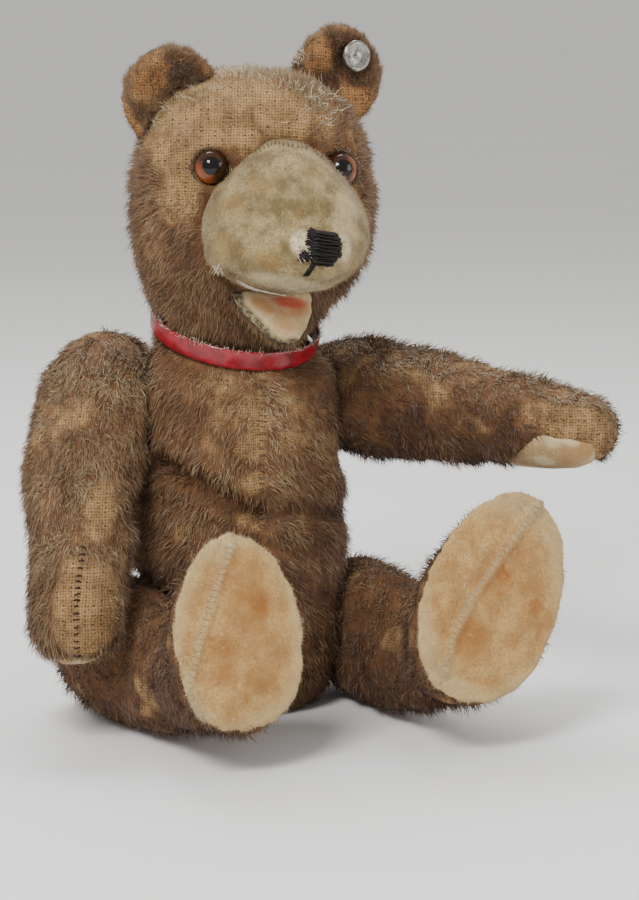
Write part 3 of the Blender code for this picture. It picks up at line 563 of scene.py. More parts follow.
def openWeaveGroup():
    # a plain weave read from a UV map in metres: thread height, gaps between threads, tuft holes
    group = bpy.data.node_groups.new("openWeave", "ShaderNodeTree")
    for name, kind, value in (
        ("Place", "NodeSocketVector", None),
        ("Thread", "NodeSocketFloat", 0.0006),
        ("Holes", "NodeSocketFloat", 0.0021),
    ):
        socket = group.interface.new_socket(name, in_out="INPUT", socket_type=kind)
        if value:
            socket.default_value = value
    for name in ("Height", "Gaps", "Tufts"):
        group.interface.new_socket(name, in_out="OUTPUT", socket_type="NodeSocketFloat")
    start = group.nodes.new("NodeGroupInput")
    end = group.nodes.new("NodeGroupOutput")
    wobble = group.nodes.new("ShaderNodeTexNoise")
    wobble.inputs["Scale"].default_value = 210
    wobble.inputs["Detail"].default_value = 2
    group.links.new(start.outputs["Place"], wobble.inputs["Vector"])
    shift = group.nodes.new("ShaderNodeVectorMath")
    shift.operation = "MULTIPLY_ADD"
    shift.inputs[1].default_value = (0.0014, 0.0014, 0)
    group.links.new(wobble.outputs["Color"], shift.inputs[0])
    group.links.new(start.outputs["Place"], shift.inputs[2])
    split = group.nodes.new("ShaderNodeSeparateXYZ")
    group.links.new(shift.outputs[0], split.inputs[0])

    def wave(axis, period, offset=0.0):
        turns = sumUp(group, "DIVIDE", split.outputs[axis], period)
        turns = sumUp(group, "MULTIPLY", turns, 2 * math.pi)
        turns = sumUp(group, "ADD", turns, offset)
        return sumUp(group, "SINE", turns, 0.0)

    thread = start.outputs["Thread"]
    double = sumUp(group, "MULTIPLY", thread, 2.0)
    warp = sumUp(group, "ABSOLUTE", wave(0, double), 0.0)
    weft = sumUp(group, "ABSOLUTE", wave(1, double), 0.0)
    over = sumUp(group, "MULTIPLY", wave(0, double, math.pi / 2), wave(1, double, math.pi / 2))
    over = rangeOf(group, over, -0.3, 0.3)
    swap = group.nodes.new("ShaderNodeMix")
    group.links.new(over, swap.inputs[0])
    group.links.new(warp, swap.inputs[2])
    group.links.new(weft, swap.inputs[3])
    gaps = sumUp(group, "MAXIMUM", warp, weft)
    group.links.new(swap.outputs[0], end.inputs["Height"])
    group.links.new(rangeOf(group, gaps, 0.30, 0.85, 1.0, 0.0), end.inputs["Gaps"])
    holes = start.outputs["Holes"]
    closer = sumUp(group, "MULTIPLY", holes, 0.62)
    rows = rangeOf(group, wave(0, holes), 0.2, 1.0)
    dots = sumUp(group, "MULTIPLY", rows, rangeOf(group, wave(1, closer), -0.1, 1.0))
    lost = group.nodes.new("ShaderNodeTexNoise")
    lost.inputs["Scale"].default_value = 420
    group.links.new(start.outputs["Place"], lost.inputs["Vector"])
    kept = rangeOf(group, lost.outputs["Fac"], 0.38, 0.6)
    dots = sumUp(group, "MULTIPLY", rangeOf(group, dots, 0.3, 0.8), kept)
    group.links.new(dots, end.inputs["Tufts"])
    return group


openWeave = openWeaveGroup()


def placeWeave(tree, thread, holes):
    node = tree.nodes.new("ShaderNodeGroup")
    node.node_tree = openWeave
    node.inputs["Thread"].default_value = thread
    node.inputs["Holes"].default_value = holes
    place = addNode(tree, "ShaderNodeUVMap", uv_map="weave")
    tree.links.new(place.outputs["UV"], node.inputs["Place"])
    return node.outputs


def wornClothMaterial(name, under, weaveLight, weaveDark):
    # pile roots where the nap is left, their brown darkened as painted shade inside the pile; open weave where it is
    # rubbed away
    material, tree, shader = startMaterial(name, 0.9, Specular_IOR_Level=0.2)
    weave = placeWeave(tree, 0.00082, 0.0021)
    bare = surfaceNote(tree, "bare")
    cloudy = objectNoise(tree, 0.006, 4.0)
    cloth = mixColours(tree, rangeOf(tree, cloudy, 0.35, 0.68), weaveDark, weaveLight)
    fine = objectNoise(tree, 0.0009, 2.0)
    cloth = mixColours(tree, rangeOf(tree, fine, 0.3, 0.8, 0.0, 0.45), cloth, weaveLight)
    # painted shade in the gaps between threads
    cloth = mixColours(tree, sumUp(tree, "MULTIPLY", weave["Gaps"], 0.8), cloth, (0.045, 0.022, 0.01))
    cloth = mixColours(tree, sumUp(tree, "MULTIPLY", weave["Tufts"], 0.85), cloth, (0.03, 0.014, 0.007))
    # painted shade: the root colour is kept dark, as the pile shades the skin under it
    roots = mixColours(tree, rangeOf(tree, cloudy, 0.3, 0.7), under, tuple(c * 1.9 for c in under))
    tree.links.new(mixColours(tree, bare, roots, cloth), shader.inputs["Base Color"])
    height = sumUp(tree, "SUBTRACT", weave["Height"], sumUp(tree, "MULTIPLY", weave["Tufts"], 1.2))
    addBump(tree, shader, sumUp(tree, "MULTIPLY", height, bare), 0.7, 0.0003)
    return material


def hairMaterial(name):
    material, tree, shader = startMaterial(
        name, 0.55, Specular_IOR_Level=0.35, Sheen_Weight=0.25, Sheen_Roughness=0.4
    )
    note = addNode(tree, "ShaderNodeAttribute", attribute_name="pileColour")
    tree.links.new(note.outputs["Color"], shader.inputs["Base Color"])
    return material


mohairHair = hairMaterial("mohairHair")
wornCloth = wornClothMaterial(
    "wornCloth", (0.070, 0.032, 0.014), (0.36, 0.220, 0.098), (0.165, 0.094, 0.040))
print("materials of the pile and the weave ready")


def finish(obj, body, slot, *replaced, fill=None):
    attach(obj, body)
    if replaced:
        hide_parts(*replaced)
    pieces[obj.name] = obj
    return obj


def treeOf(obj):
    mesh = obj.data
    return BVHTree.FromPolygons([v.co for v in mesh.vertices], [p.vertices for p in mesh.polygons])


def closeTo(points, neighbours, reach):
    # 1 where a point is inside or within reach of one of the neighbouring solids
    inside = np.zeros(len(points))
    for nodeName in neighbours:
        tree = treeOf(nodes[nodeName])
        low, high = (np.array(corner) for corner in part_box(nodeName))
        near = ((points > low - reach) & (points < high + reach)).all(1) & (inside == 0)
        for k in np.where(near)[0]:
            point = Vector(points[k])
            spot, normal, _, away = tree.find_nearest(point, 0.03)
            if spot is not None and (away < reach or (point - spot).dot(normal) < 0):
                inside[k] = 1
    return inside


def fineCopy(name, nodeName):
    bm = bmesh.new()
    bm.from_mesh(nodes[nodeName].data)
    bmesh.ops.remove_doubles(bm, verts=bm.verts, dist=1e-6)
    mesh = bpy.data.meshes.new(name)
    bm.to_mesh(mesh)
    bm.free()
    obj = newObject(name, mesh)
    finer = obj.modifiers.new("finer", "SUBSURF")
    finer.levels = finer.render_levels = 2
    appliedModifiers(obj)
    obj.data.shade_smooth()
    return obj


# Body: worn plush with a front seam and belly folds

bodyLook = {
    "voxel": 0.0016,
    "mapRadius": 0.031,
    "length": 0.0034,
    "foldDepth": 0.0040,
    "folds": [(-34, 78.5), (-22, 74.6), (-11, 67.4), (-1, 61.2)],
    "softFolds": [(1, 64), (30, 58.6)],
    "worn": [
        (258, 418, 12, 34, 4, 0.82), (252, 448, 16, 16, 0, 0.7), (254, 482, 14, 12, 0, 0.9),
        (250, 520, 17, 10, 0, 0.85), (334, 448, 13, 18, 0, 0.8), (226, 400, 34, 30, 20, 0.42),
        (292, 420, 26, 40, 10, 0.42),
    ],
    "pile": {"blades": 51500, "tuft": 0.0036, "lift": 0.34, "clump": 1.0, "stray": 0.24,
             "curl": 0.6, "droop": 0.3, "width": 0.00023, "rootShade": 0.5, "mixed": 0.1},
}


def makeBody():
    surface = softForm("bodyPlush", ["body_cover", "body_stuffing"], bodyLook["voxel"], 12)
    neighbours = (
        "arm_cover_left", "arm_cover_right", "leg_cover_left", "leg_cover_right", "collar", "head_cover")
    swellAsCloth(surface, neighbours)

    def shape(points, normals):
        front = smoothStep(0.1, 0.5, -normals[:, 1])
        seam = np.exp(-(((points[:, 0] + 0.0005) / 0.0011) ** 2)) * front
        stitch = 0.6 + 0.4 * np.sin(points[:, 2] * 2 * math.pi / 0.0042)
        push = -0.0011 * seam * stitch * smoothStep(0.112, 0.095, points[:, 2])
        beside = np.exp(-(((np.abs(points[:, 0]) - 0.0035) / 0.002) ** 2)) * front
        push += 0.0005 * beside
        flat = points[:, [0, 2]] * 1000
        for line, depth, width in (
            (bodyLook["folds"], bodyLook["foldDepth"], 2.6),
            (bodyLook["softFolds"], bodyLook["foldDepth"] * 0.5, 3.0),
        ):
            away, _ = nearLine(flat, line)
            push += front * (-depth * np.exp(-((away / width) ** 2)))
            push += front * depth * 0.45 * np.exp(-(((away - width * 2) / width) ** 2))
        push += lumps(points, (0.0016, 0.017, 5), (0.0008, 0.006, 6))
        return push * smoothStep(0.0, 0.006, points[:, 2])

    moved(surface, shape)
    points, normals = meshArrays(surface)
    points[:, 2] = np.maximum(points[:, 2], 0.0004)
    setPoints(surface, points)

    def wear(points, normals):
        worn = patches(photoPlace(points), bodyLook["worn"]) * facing(normals)
        rubbed = rubbedSpots(points, 9)
        seam = np.exp(-((points[:, 0] / 0.0016) ** 2)) * smoothStep(0, 0.5, -normals[:, 1]) * 0.45
        ragged = (cloudNoise(points, 0.0021, 10) - 0.5) * 1.0
        return np.clip(np.maximum(np.maximum(worn, rubbed), seam) + ragged * (worn > 0.05), 0, 1)

    noteOnSurface(surface, "bare", smoothStep(0.25, 0.7, wear(points, normals)))
    layRoundMap(surface, bodyLook["mapRadius"])
    surface.data.materials.append(wornCloth)
    finish(surface, "body", "mohair", "body_cover", fill=0.9)

    hidden = closeTo(points, neighbours, 0.0007)

    def look(points, normals):
        bare = wear(points, normals)
        density = thinned(1 - 0.8 * bare, hidden)
        length = bodyLook["length"] * (1 - 0.45 * bare) * (0.7 + 0.6 * cloudNoise(points, 0.011, 12))
        up = smoothStep(0.1, 0.9, normals[:, 2])
        low = smoothStep(0.085, 0.03, points[:, 2])
        tone = (
            0.26 - 0.10 * low + 0.36 * cloudNoise(points, 0.009, 13) + 0.12 * up
            + 0.14 * smoothStep(0.45, 0.9, cloudNoise(points, 0.02, 14)) + 0.12 * bare
        )
        flat = points[:, [0, 2]] * 1000
        inFold, _ = nearLine(flat, bodyLook["folds"])
        inSoft, _ = nearLine(flat, bodyLook["softFolds"])
        # painted shade: the fur is darker along the belly folds and softer folds, on the front
        dark = np.maximum(np.exp(-((inFold / 3.0) ** 2)), 0.6 * np.exp(-((inSoft / 3.0) ** 2)))
        tone -= 0.24 * dark * smoothStep(0.1, 0.5, -normals[:, 1])
        return density, length * smoothStep(-0.001, 0.006, points[:, 2] + 0.001), tone

    def comb(points, normals):
        flow = np.zeros_like(points)
        flow[:, 0] = np.sign(points[:, 0]) * (0.35 + 0.5 * (cloudNoise(points, 0.02, 15) - 0.3))
        flow[:, 2] = -1
        flow[:, 1] = 0.6 * (cloudNoise(points, 0.014, 16) - 0.5)
        return flow

    pile = growPile("bodyPile", surface, bodyLook["pile"], comb, look, mohairHair, 11)
    lieAbove(pile, 0.0002)
    finish(pile, "body", "mohair")


makeBody()
print("body done")


def ownWear(points, normals, spots, grain, seed):
    # worn places of the photograph on what it shows, rubbed spots of its own all round
    worn = patches(photoPlace(points), spots) * facing(normals)
    ragged = (cloudNoise(points, grain, seed + 1) - 0.5) * 0.6 * (worn > 0.03)
    return np.clip(np.maximum(worn, rubbedSpots(points, seed)) + ragged, 0, 1)


# Head: worn forehead, fuller cheeks

headMiddle = np.array([0.003127, -0.010926, 0.150237])
headFrame = Matrix.Translation(Vector(headMiddle)) @ Matrix.Rotation(math.radians(5), 4, "Z")


def inHead(x, y, z):
    return np.array(headFrame @ Vector((x, y, z)))


headLook = {
    "voxel": 0.0015,
    "worn": [
        (236, 108, 60, 46, 6, 0.85), (286, 118, 28, 34, 0, 0.95), (182, 135, 40, 46, 30, 0.9),
        (180, 196, 24, 34, 0, 0.75), (325, 118, 22, 26, 0, 0.5), (352, 135, 14, 24, 0, 0.45),
        (155, 240, 14, 30, 0, 0.35),
    ],
    "length": 0.0037,
    "pile": {"blades": 51500, "tuft": 0.0032, "lift": 0.34, "clump": 1.0, "stray": 0.26,
             "curl": 0.5, "droop": 0.25, "width": 0.0002, "rootShade": 0.5, "mixed": 0.1},
}


def makeHead():
    surface = softForm("headPlush", ["head_cover", "head_stuffing"], headLook["voxel"], 10)
    neighbours = (
        "muzzle", "lower_jaw", "ear_left", "ear_right", "eye_left", "eye_right", "collar", "body_cover")
    swellAsCloth(surface, neighbours)
    moved(surface, lambda p, n: lumps(p, (0.0013, 0.013, 21), (0.0006, 0.004, 22)))
    points, normals = meshArrays(surface)

    def wear(points, normals):
        return ownWear(points, normals, headLook["worn"], 0.0028, 23)

    noteOnSurface(surface, "bare", smoothStep(0.2, 0.6, wear(points, normals)))
    layBoxMap(surface)
    surface.data.materials.append(wornCloth)
    finish(surface, "head", "mohair", "head_cover", fill=0.9)

    hidden = closeTo(points, neighbours, 0.0006)
    muzzleMiddle = inHead(0, -0.040, -0.004)

    def look(points, normals):
        bare = wear(points, normals)
        density = thinned(1 - 0.74 * bare, hidden)
        length = headLook["length"] * (1 - 0.55 * bare) * (0.7 + 0.6 * cloudNoise(points, 0.01, 25))
        shortNear = smoothStep(0.004, 0.016, np.minimum(
            np.linalg.norm(points - inHead(0.0182, -0.026, 0.012), axis=1),
            np.linalg.norm(points - inHead(-0.0200, -0.024, 0.0135), axis=1)))
        up = smoothStep(0.2, 0.9, normals[:, 2])
        tone = 0.27 + 0.34 * cloudNoise(points, 0.008, 26) + 0.20 * up + 0.14 * bare
        return density, length * (0.45 + 0.55 * shortNear), tone

    def comb(points, normals):
        flow = unit(points - muzzleMiddle)
        flow[:, 2] -= 0.55 * smoothStep(0.5, -0.3, normals[:, 2])
        flow += 0.9 * swirl(points, 0.016, 27)
        return flow

    pile = growPile("headPile", surface, headLook["pile"], comb, look, mohairHair, 12)
    finish(pile, "head", "mohair")


makeHead()
print("head done")

# Muzzle: short velvet, stained, worn round the nose

muzzleLook = {
    "voxel": 0.0009,
    "stains": [
        (232, 205, 16, 12, 10, 0.7), (262, 182, 18, 10, -20, 0.5), (222, 245, 12, 16, 0, 0.6),
        (270, 262, 20, 9, 10, 0.6), (318, 168, 14, 12, 0, 0.5), (345, 215, 8, 16, 0, 0.5),
    ],
    "pale": [
        (301, 243, 11, 13, 0, 1.3), (343, 248, 9, 15, 0, 0.8), (290, 284, 46, 8, 12, 0.6), (345, 225, 14, 34, 0, 0.3),
    ],
    "tip": (322, 247),
    "bulge": [(216, 256, 12, 16, -20, 1.0)],
    "underNose": [(322, 247, 24, 24, 0, 1.0)],
    "pile": {"stubble": True, "blades": 34000, "tuft": 0.002, "lift": 0.5, "clump": 0.8, "stray": 0.3,
             "curl": 0.3, "droop": 0.1, "width": 0.00012, "rootShade": 0.7, "mixed": 0.05},
}


def velvetMaterial(name, light, middle, stain, pale=(0.60, 0.50, 0.32)):
    material, tree, shader = startMaterial(
        name, 0.85, Specular_IOR_Level=0.2, Sheen_Weight=0.14, Sheen_Roughness=0.4)
    cloudy = objectNoise(tree, 0.007, 5.0, 0.6)
    fine = objectNoise(tree, 0.0007, 2.0)
    colour = mixColours(tree, rangeOf(tree, cloudy, 0.32, 0.68), middle, light)
    colour = mixColours(tree, rangeOf(tree, fine, 0.35, 0.75, 0.0, 0.5), colour, tuple(c * 0.5 for c in middle))
    blotch = objectNoise(tree, 0.0045, 3.0, 0.5, 0.4)
    spots = sumUp(tree, "ADD", surfaceNote(tree, "stain"), rangeOf(tree, blotch, 0.58, 0.72, 0.0, 0.45), True)
    colour = mixColours(tree, spots, colour, stain)
    speck = objectNoise(tree, 0.0011, 0.0)
    colour = mixColours(tree, rangeOf(tree, speck, 0.77, 0.85, 0.0, 0.22), colour, (0.62, 0.56, 0.42))
    colour = mixColours(tree, surfaceNote(tree, "pale"), colour, pale)
    tree.links.new(colour, shader.inputs["Base Color"])
    weave = placeWeave(tree, 0.00045, 0.0016)
    nap = sumUp(tree, "ADD", sumUp(tree, "MULTIPLY", weave["Height"], 0.35), fine)
    addBump(tree, shader, nap, 0.6, 0.00035)
    return material


muzzleVelvet = velvetMaterial("muzzleVelvet", (0.37, 0.29, 0.14), (0.140, 0.100, 0.042), (0.24, 0.135, 0.040))


def makeMuzzle():
    surface = softForm("muzzleVelvetSkin", ["muzzle"], muzzleLook["voxel"], 6)

    def shape(points, normals):
        away = np.hypot(*(photoPlace(points) - muzzleLook["tip"]).T)
        front = facing(normals)
        tip = 0.0009 * (1 - smoothStep(4, 30, away)) - 0.0007 * np.exp(-(((away - 36) / 4.5) ** 2))
        lowLeft = patches(photoPlace(points), muzzleLook["bulge"]) * 0.0011
        return lumps(points, (0.0009, 0.007, 31)) + (tip + lowLeft) * front

    moved(surface, shape)
    points, normals = meshArrays(surface)
    place = photoPlace(points)
    stain = patches(place, muzzleLook["stains"]) * facing(normals)
    noteOnSurface(surface, "stain", stain * (0.2 + 0.8 * cloudNoise(points, 0.0035, 34)))
    worn = patches(place, muzzleLook["pale"])
    noteOnSurface(surface, "pale", np.clip(worn * (0.5 + 0.6 * cloudNoise(points, 0.0012, 32)), 0, 1))
    layBoxMap(surface)
    surface.data.materials.append(muzzleVelvet)
    finish(surface, "head", "velvet", "muzzle", fill=0.9)
    middle = inHead(0, -0.055, -0.004)

    def look(points, normals):
        outer = np.linalg.norm(points - middle, axis=1)
        rim = smoothStep(0.016, 0.026, outer)
        nose = patches(photoPlace(points), muzzleLook["underNose"]) * facing(normals)
        tone = 0.66 + 0.18 * cloudNoise(points, 0.006, 33) - 0.10 * rim
        return 1 - 0.97 * nose, 0.0007 + 0.0006 * rim, tone

    pile = growPile("muzzlePile", surface, muzzleLook["pile"],
                    lambda p, n: unit(p - middle) + np.array([0, 0, -0.3]), look, mohairHair, 13)
    finish(pile, "head", "velvet")
    return surface


muzzleSkin = makeMuzzle()
muzzleTree = treeOf(muzzleSkin)
print("muzzle done")

# Threads: every line of thread is a thin tube laid on what carries it


def threadPiece(name, lines, thick, skin, sides=5):
    bm = bmesh.new()
    for line, scale in lines:
        line = [Vector(p) for p in line]
        rings = []
        for k, spot in enumerate(line):
            ahead = (line[min(k + 1, len(line) - 1)] - line[max(k - 1, 0)]).normalized()
            turn = ahead.to_track_quat("Z", "Y").to_matrix().to_4x4()
            ring = bmesh.ops.create_circle(
                bm, segments=sides, radius=thick * scale, matrix=Matrix.Translation(spot) @ turn)["verts"]
            rings.append(ring)
        for one, two in zip(rings, rings[1:]):
            for k in range(sides):
                bm.faces.new((one[k], one[(k + 1) % sides], two[(k + 1) % sides], two[k]))
        bm.faces.new(reversed(rings[0]))
        bm.faces.new(rings[-1])
    bmesh.ops.recalc_face_normals(bm, faces=bm.faces)
    mesh = bpy.data.meshes.new(name)
    bm.to_mesh(mesh)
    bm.free()
    mesh.shade_smooth()
    mesh.materials.append(skin)
    return newObject(name, mesh)


def overSurface(tree, pixels, lift):
    # drops a line drawn over the photograph onto a surface
    line = []
    for k, (across, down) in enumerate(pixels):
        start, ray = rayThrough(across, down)
        spot, normal, _, _ = tree.ray_cast(start, ray)
        if spot is None:
            continue
        rise = lift[k] if isinstance(lift, (list, tuple)) else lift
        line.append(spot + normal * rise)
    return line


def whole(lines):
    # leaves out threads that missed their surface
    return [line for line in lines if len(line[0]) > 2]


def threadMaterial(name, dark, light, roughness=0.5, sheen=0.2, shine=0.4):
    material, tree, shader = startMaterial(
        name, roughness, Specular_IOR_Level=shine, Sheen_Weight=sheen)
    noise = objectNoise(tree, 0.0012, 3.0)
    colour = mixColours(tree, rangeOf(tree, noise, 0.3, 0.75), dark, light)
    tree.links.new(colour, shader.inputs["Base Color"])
    addBump(tree, shader, objectNoise(tree, 0.0002, 2.0), 0.5, 0.0001)
    return material


blackThread = threadMaterial("blackThread", (0.003, 0.0025, 0.002), (0.012, 0.009, 0.007), 0.5, 0.0, 0.25)
strawThread = threadMaterial("strawThread", (0.30, 0.22, 0.11), (0.68, 0.60, 0.44), 0.8, 0.5)
tanThread = threadMaterial("tanThread", (0.26, 0.16, 0.07), (0.50, 0.37, 0.20), 0.85, 0.3)
brownThread = threadMaterial("brownThread", (0.035, 0.018, 0.009), (0.12, 0.07, 0.035), 0.8)


noseLook = {
    "layers": [(1.5, 0.0003), (1.9, 0.0008), (3.4, 0.00125)],  # pixels from stitch to stitch, height
    "thread": 0.00036,
    "straw": 0.00009,
    "lip": [(237, 281), (246, 285), (258, 289), (272, 292.5), (286, 295), (298, 296.5), (308, 296)],
}


def makeNose():
    rng = np.random.default_rng(41)
    lines = []
    for layer, (step, lift) in enumerate(noseLook["layers"]):
        down = 233.0 + layer
        while down < 264:
            part = (down - 231) / 33
            left = 306 + 22 * abs(part - 0.4) ** 2 + rng.normal(0, 1.3) + layer * 1.5
            right = 343 - 30 * abs(part - 0.45) ** 2 + rng.normal(0, 1.0) - layer * 1.5
            sway = rng.normal(0, 0.8)
            xs = np.linspace(left, right, 9)
            pixels = [
                (x, down + sway * math.sin(2.2 * k) * 0.4 + (x - 324) * (0.12 + 0.06 * sway))
                for k, x in enumerate(xs)
            ]
            rises = [-0.0005] + [lift + 0.0004 * math.sin(math.pi * k / 8) for k in range(1, 8)] + [-0.0005]
            lines.append((overSurface(muzzleTree, pixels, rises), 0.8 + 0.4 * rng.random()))
            down += step * (0.8 + 0.4 * rng.random())
    for k in range(7):  # what is left of the lost stitches beside it
        down = 251 + k * 1.6
        pixels = [(x, down + rng.normal(0, 0.3)) for x in np.linspace(296 + rng.random() * 6, 314, 5)]
        lines.append((overSurface(muzzleTree, pixels, [-0.0003, 0.0004, 0.0004, 0.0004, -0.0002]), 0.8))
    for k in range(5):  # the knot at the top left
        pixels = [(307 + k * 1.3 + j * 0.8, 238 - j * 2.0 + k * 0.6) for j in range(6)]
        lines.append((overSurface(muzzleTree, pixels, [-0.0002, 0.001, 0.0013, 0.0013, 0.001, -0.0002]), 1.0))
    for k in range(4):  # stem down to the mouth
        pixels = [(312 - 9 * t + k * 1.4, 262 + 15 * t) for t in np.linspace(0, 1, 6)]
        lines.append((overSurface(muzzleTree, pixels, [0.0004, 0.0005, 0.0005, 0.0004, 0.0003, -0.0003]), 0.7))
    nose = threadPiece("noseStitches", whole(lines), noseLook["thread"], blackThread)
    finish(nose, "head", "thread", "nose_stitching")
    straw = []
    for k in range(46):
        x, y = 294 + rng.random() * 20, 234 + rng.random() * 22
        angle = rng.normal(0.3, 0.7)
        reach = 4 + rng.random() * 7
        pixels = [(x + math.cos(angle) * reach * t, y + math.sin(angle) * reach * t) for t in (0, 0.33, 0.66, 1)]
        straw.append((overSurface(muzzleTree, pixels, [-0.0002, 0.0003, 0.0006, 0.0008 * rng.random()]), 1.0))
    for k in range(9):
        x, y = 338 + rng.random() * 5, 240 + rng.random() * 14
        pixels = [(x + 3 * t, y + rng.normal(0, 1.5) * t) for t in (0, 0.5, 1)]
        straw.append((overSurface(muzzleTree, pixels, [-0.0001, 0.0004, 0.0005]), 1.0))
    for k in range(5):
        pixels = [(x, y + k * 0.5 - 1.5) for x, y in noseLook["lip"]]
        straw.append((overSurface(muzzleTree, pixels, [0.0, 0.0004, 0.0005, 0.0005, 0.0005, 0.0004, 0.0]), 2.0))
    loose = threadPiece("noseStraw", whole(straw), noseLook["straw"], strawThread, 4)
    finish(loose, "head", "thread")


makeNose()
print("nose done")

# Eyes: amber glass with a black pupil and a painted glow of light through the glass, in stitched sockets

eyeLook = {
    # paintedGlow: the way to the side of each eye where painted light shines through the glass
    "left": {"out": 0.0182, "forward": 0.0220, "up": 0.0120, "paintedGlow": (0.95, -0.25, 0.05)},
    "right": {"out": -0.0200, "forward": 0.0195, "up": 0.0135, "paintedGlow": (-0.75, -0.2, -0.65)},
    "pupil": 0.56,
    "stitches": 90,
    "socket": 0.00535,
    "thread": 0.00016,
}


def eyeMaterial():
    material, tree, shader = startMaterial(
        "amberGlass", 0.06, Specular_IOR_Level=0.36, Coat_Weight=0.0, IOR=1.5)
    ring = surfaceNote(tree, "ring")
    streaks = objectNoise(tree, 0.0008, 3.0)
    # painted light: the amber brightens from dark toward the side where light shines through the glass
    amberAndGlow = mixColours(tree, surfaceNote(tree, "paintedGlow"), (0.018, 0.006, 0.003), (0.18, 0.044, 0.011))
    amberAndGlow = mixColours(tree, rangeOf(tree, streaks, 0.3, 0.8, 0.0, 0.3), amberAndGlow, (0.11, 0.042, 0.012))
    rim = rangeOf(tree, ring, 1.15, 1.45)
    amberAndGlow = mixColours(tree, rim, amberAndGlow, (0.012, 0.005, 0.002))
    pupil = eyeLook["pupil"]
    black = rangeOf(tree, ring, pupil - 0.03, pupil + 0.05, 1.0, 0.0)
    tree.links.new(mixColours(tree, black, amberAndGlow, (0.002, 0.0015, 0.001)), shader.inputs["Base Color"])
    # painted glow: that side of the glass gives off light of its own, though it is no lamp
    paintedGlow = mixColours(tree, surfaceNote(tree, "paintedGlow"), (0, 0, 0), (0.10, 0.02, 0.003))
    paintedGlow = mixColours(tree, black, paintedGlow, (0, 0, 0))
    tree.links.new(paintedGlow, shader.inputs["Emission Color"])
    shader.inputs["Emission Strength"].default_value = 0.35
    return material


def makeEyes():
    glass = eyeMaterial()
    for side in ("left", "right"):
        at = eyeLook[side]
        middle = inHead(at["out"], -at["forward"], at["up"])
        gaze = unitOf(viewBack * 0.75 + np.array([0.25 if side == "left" else -0.2, -1, 0.1]))
        eye = fineCopy("eyeGlass_" + side, "eye_" + side)
        points, normals = meshArrays(eye)
        toward = unit(points - middle)
        noteOnSurface(eye, "ring", np.arccos(np.clip(toward @ gaze, -1, 1)))
        lit = toward @ unitOf(at["paintedGlow"]) - 0.15 + lumps(points, (0.25, 0.002, 51))
        noteOnSurface(eye, "paintedGlow", smoothStep(0.15, 0.85, lit))
        eye.data.materials.append(glass)
        finish(eye, "head", "glass", "eye_" + side)
        rng = np.random.default_rng(52 + (side == "left"))
        lines = []
        across = unitOf(np.cross(gaze, [0, 0, 1]))
        upward = np.cross(across, gaze)
        for k in range(eyeLook["stitches"]):  # frayed stitches round the socket
            angle = k / eyeLook["stitches"] * 2 * math.pi
            outward = across * math.cos(angle) + upward * math.sin(angle)
            start = middle + outward * eyeLook["socket"] + gaze * (0.0002 + 0.0006 * rng.random())
            end = start + outward * (0.0006 + 0.0014 * rng.random()) - gaze * (0.0012 + 0.001 * rng.random())
            end += np.cross(gaze, outward) * rng.normal(0, 0.0006)
            lines.append(([start, (start + end) / 2 + gaze * 0.0002, end], 1.0))
        socket = threadPiece("eyeSocket_" + side, lines, eyeLook["thread"], brownThread, 4)
        finish(socket, "head", "thread")


makeEyes()
print("eyes done")

# Ears: cupped, worn to the weave

earLook = {
    "voxel": 0.0009,
    "pile": {"blades": 12500, "tuft": 0.0028, "lift": 0.4, "clump": 1.0, "stray": 0.28,
             "curl": 0.35, "droop": 0.1, "width": 0.0002, "rootShade": 0.45, "mixed": 0.08},
    "length": 0.0030,
    "left": {"middle": (335, 72), "half": (50, 48),
             "spots": [(351, 100, 22, 16, 0, 0.9), (318, 60, 18, 26, 20, 0.8)]},
    "right": {"middle": (168, 95), "half": (46, 50),
              "spots": [(150, 80, 20, 34, 20, 0.9), (190, 110, 22, 26, 0, 0.7)]},
}
earCloth = wornClothMaterial(
    "earCloth", (0.065, 0.024, 0.010), (0.33, 0.170, 0.062), (0.165, 0.070, 0.026))


def makeEar(side, seed):
    at = earLook[side]
    surface = softForm("earPlush_" + side, ["ear_" + side], earLook["voxel"], 5)
    moved(surface, lambda p, n: lumps(p, (0.0009, 0.006, seed)))
    points, normals = meshArrays(surface)

    def edge(points):
        return np.hypot(*((photoPlace(points) - at["middle"]) / at["half"]).T)

    def wear(points, normals):
        worn = patches(photoPlace(points), at["spots"]) * facing(normals)
        rim = smoothStep(0.72, 0.92, edge(points)) * 0.75
        ragged = (cloudNoise(points, 0.002, seed + 1) - 0.5) * 0.7
        return np.clip(np.maximum(worn, rim) + ragged, 0, 1)

    noteOnSurface(surface, "bare", smoothStep(0.2, 0.6, wear(points, normals)))
    layBoxMap(surface)
    surface.data.materials.append(earCloth)
    finish(surface, "head", "mohair", "ear_" + side)
    neighbours = ("head_cover", "ear_stud") if side == "left" else ("head_cover",)
    hidden = closeTo(points, neighbours, 0.0004)
    low = points[points[:, 2] < points[:, 2].min() + 0.006].mean(0)

    def look(points, normals):
        bare = wear(points, normals)
        density = thinned(1 - 0.9 * bare, hidden)
        length = earLook["length"] * (0.6 + 0.8 * cloudNoise(points, 0.007, seed + 2)) * (1 - 0.5 * bare)
        tone = 0.24 + 0.34 * cloudNoise(points, 0.006, seed + 3) + 0.12 * bare
        return density, length, tone + 0.12 * smoothStep(0.3, 0.9, normals[:, 2])

    pile = growPile(
        "earPile_" + side, surface, earLook["pile"], lambda p, n: unit(p - low), look, mohairHair, seed)
    finish(pile, "head", "mohair")


makeEar("left", 61)
makeEar("right", 71)
print("ears done")

# Arms and legs

limbLength, limbVoxel = 0.0036, 0.0016
limbPile = {"tuft": 0.0036, "lift": 0.33, "clump": 1.0, "stray": 0.25,
            "curl": 0.6, "droop": 0.35, "width": 0.00023, "rootShade": 0.5, "mixed": 0.1}


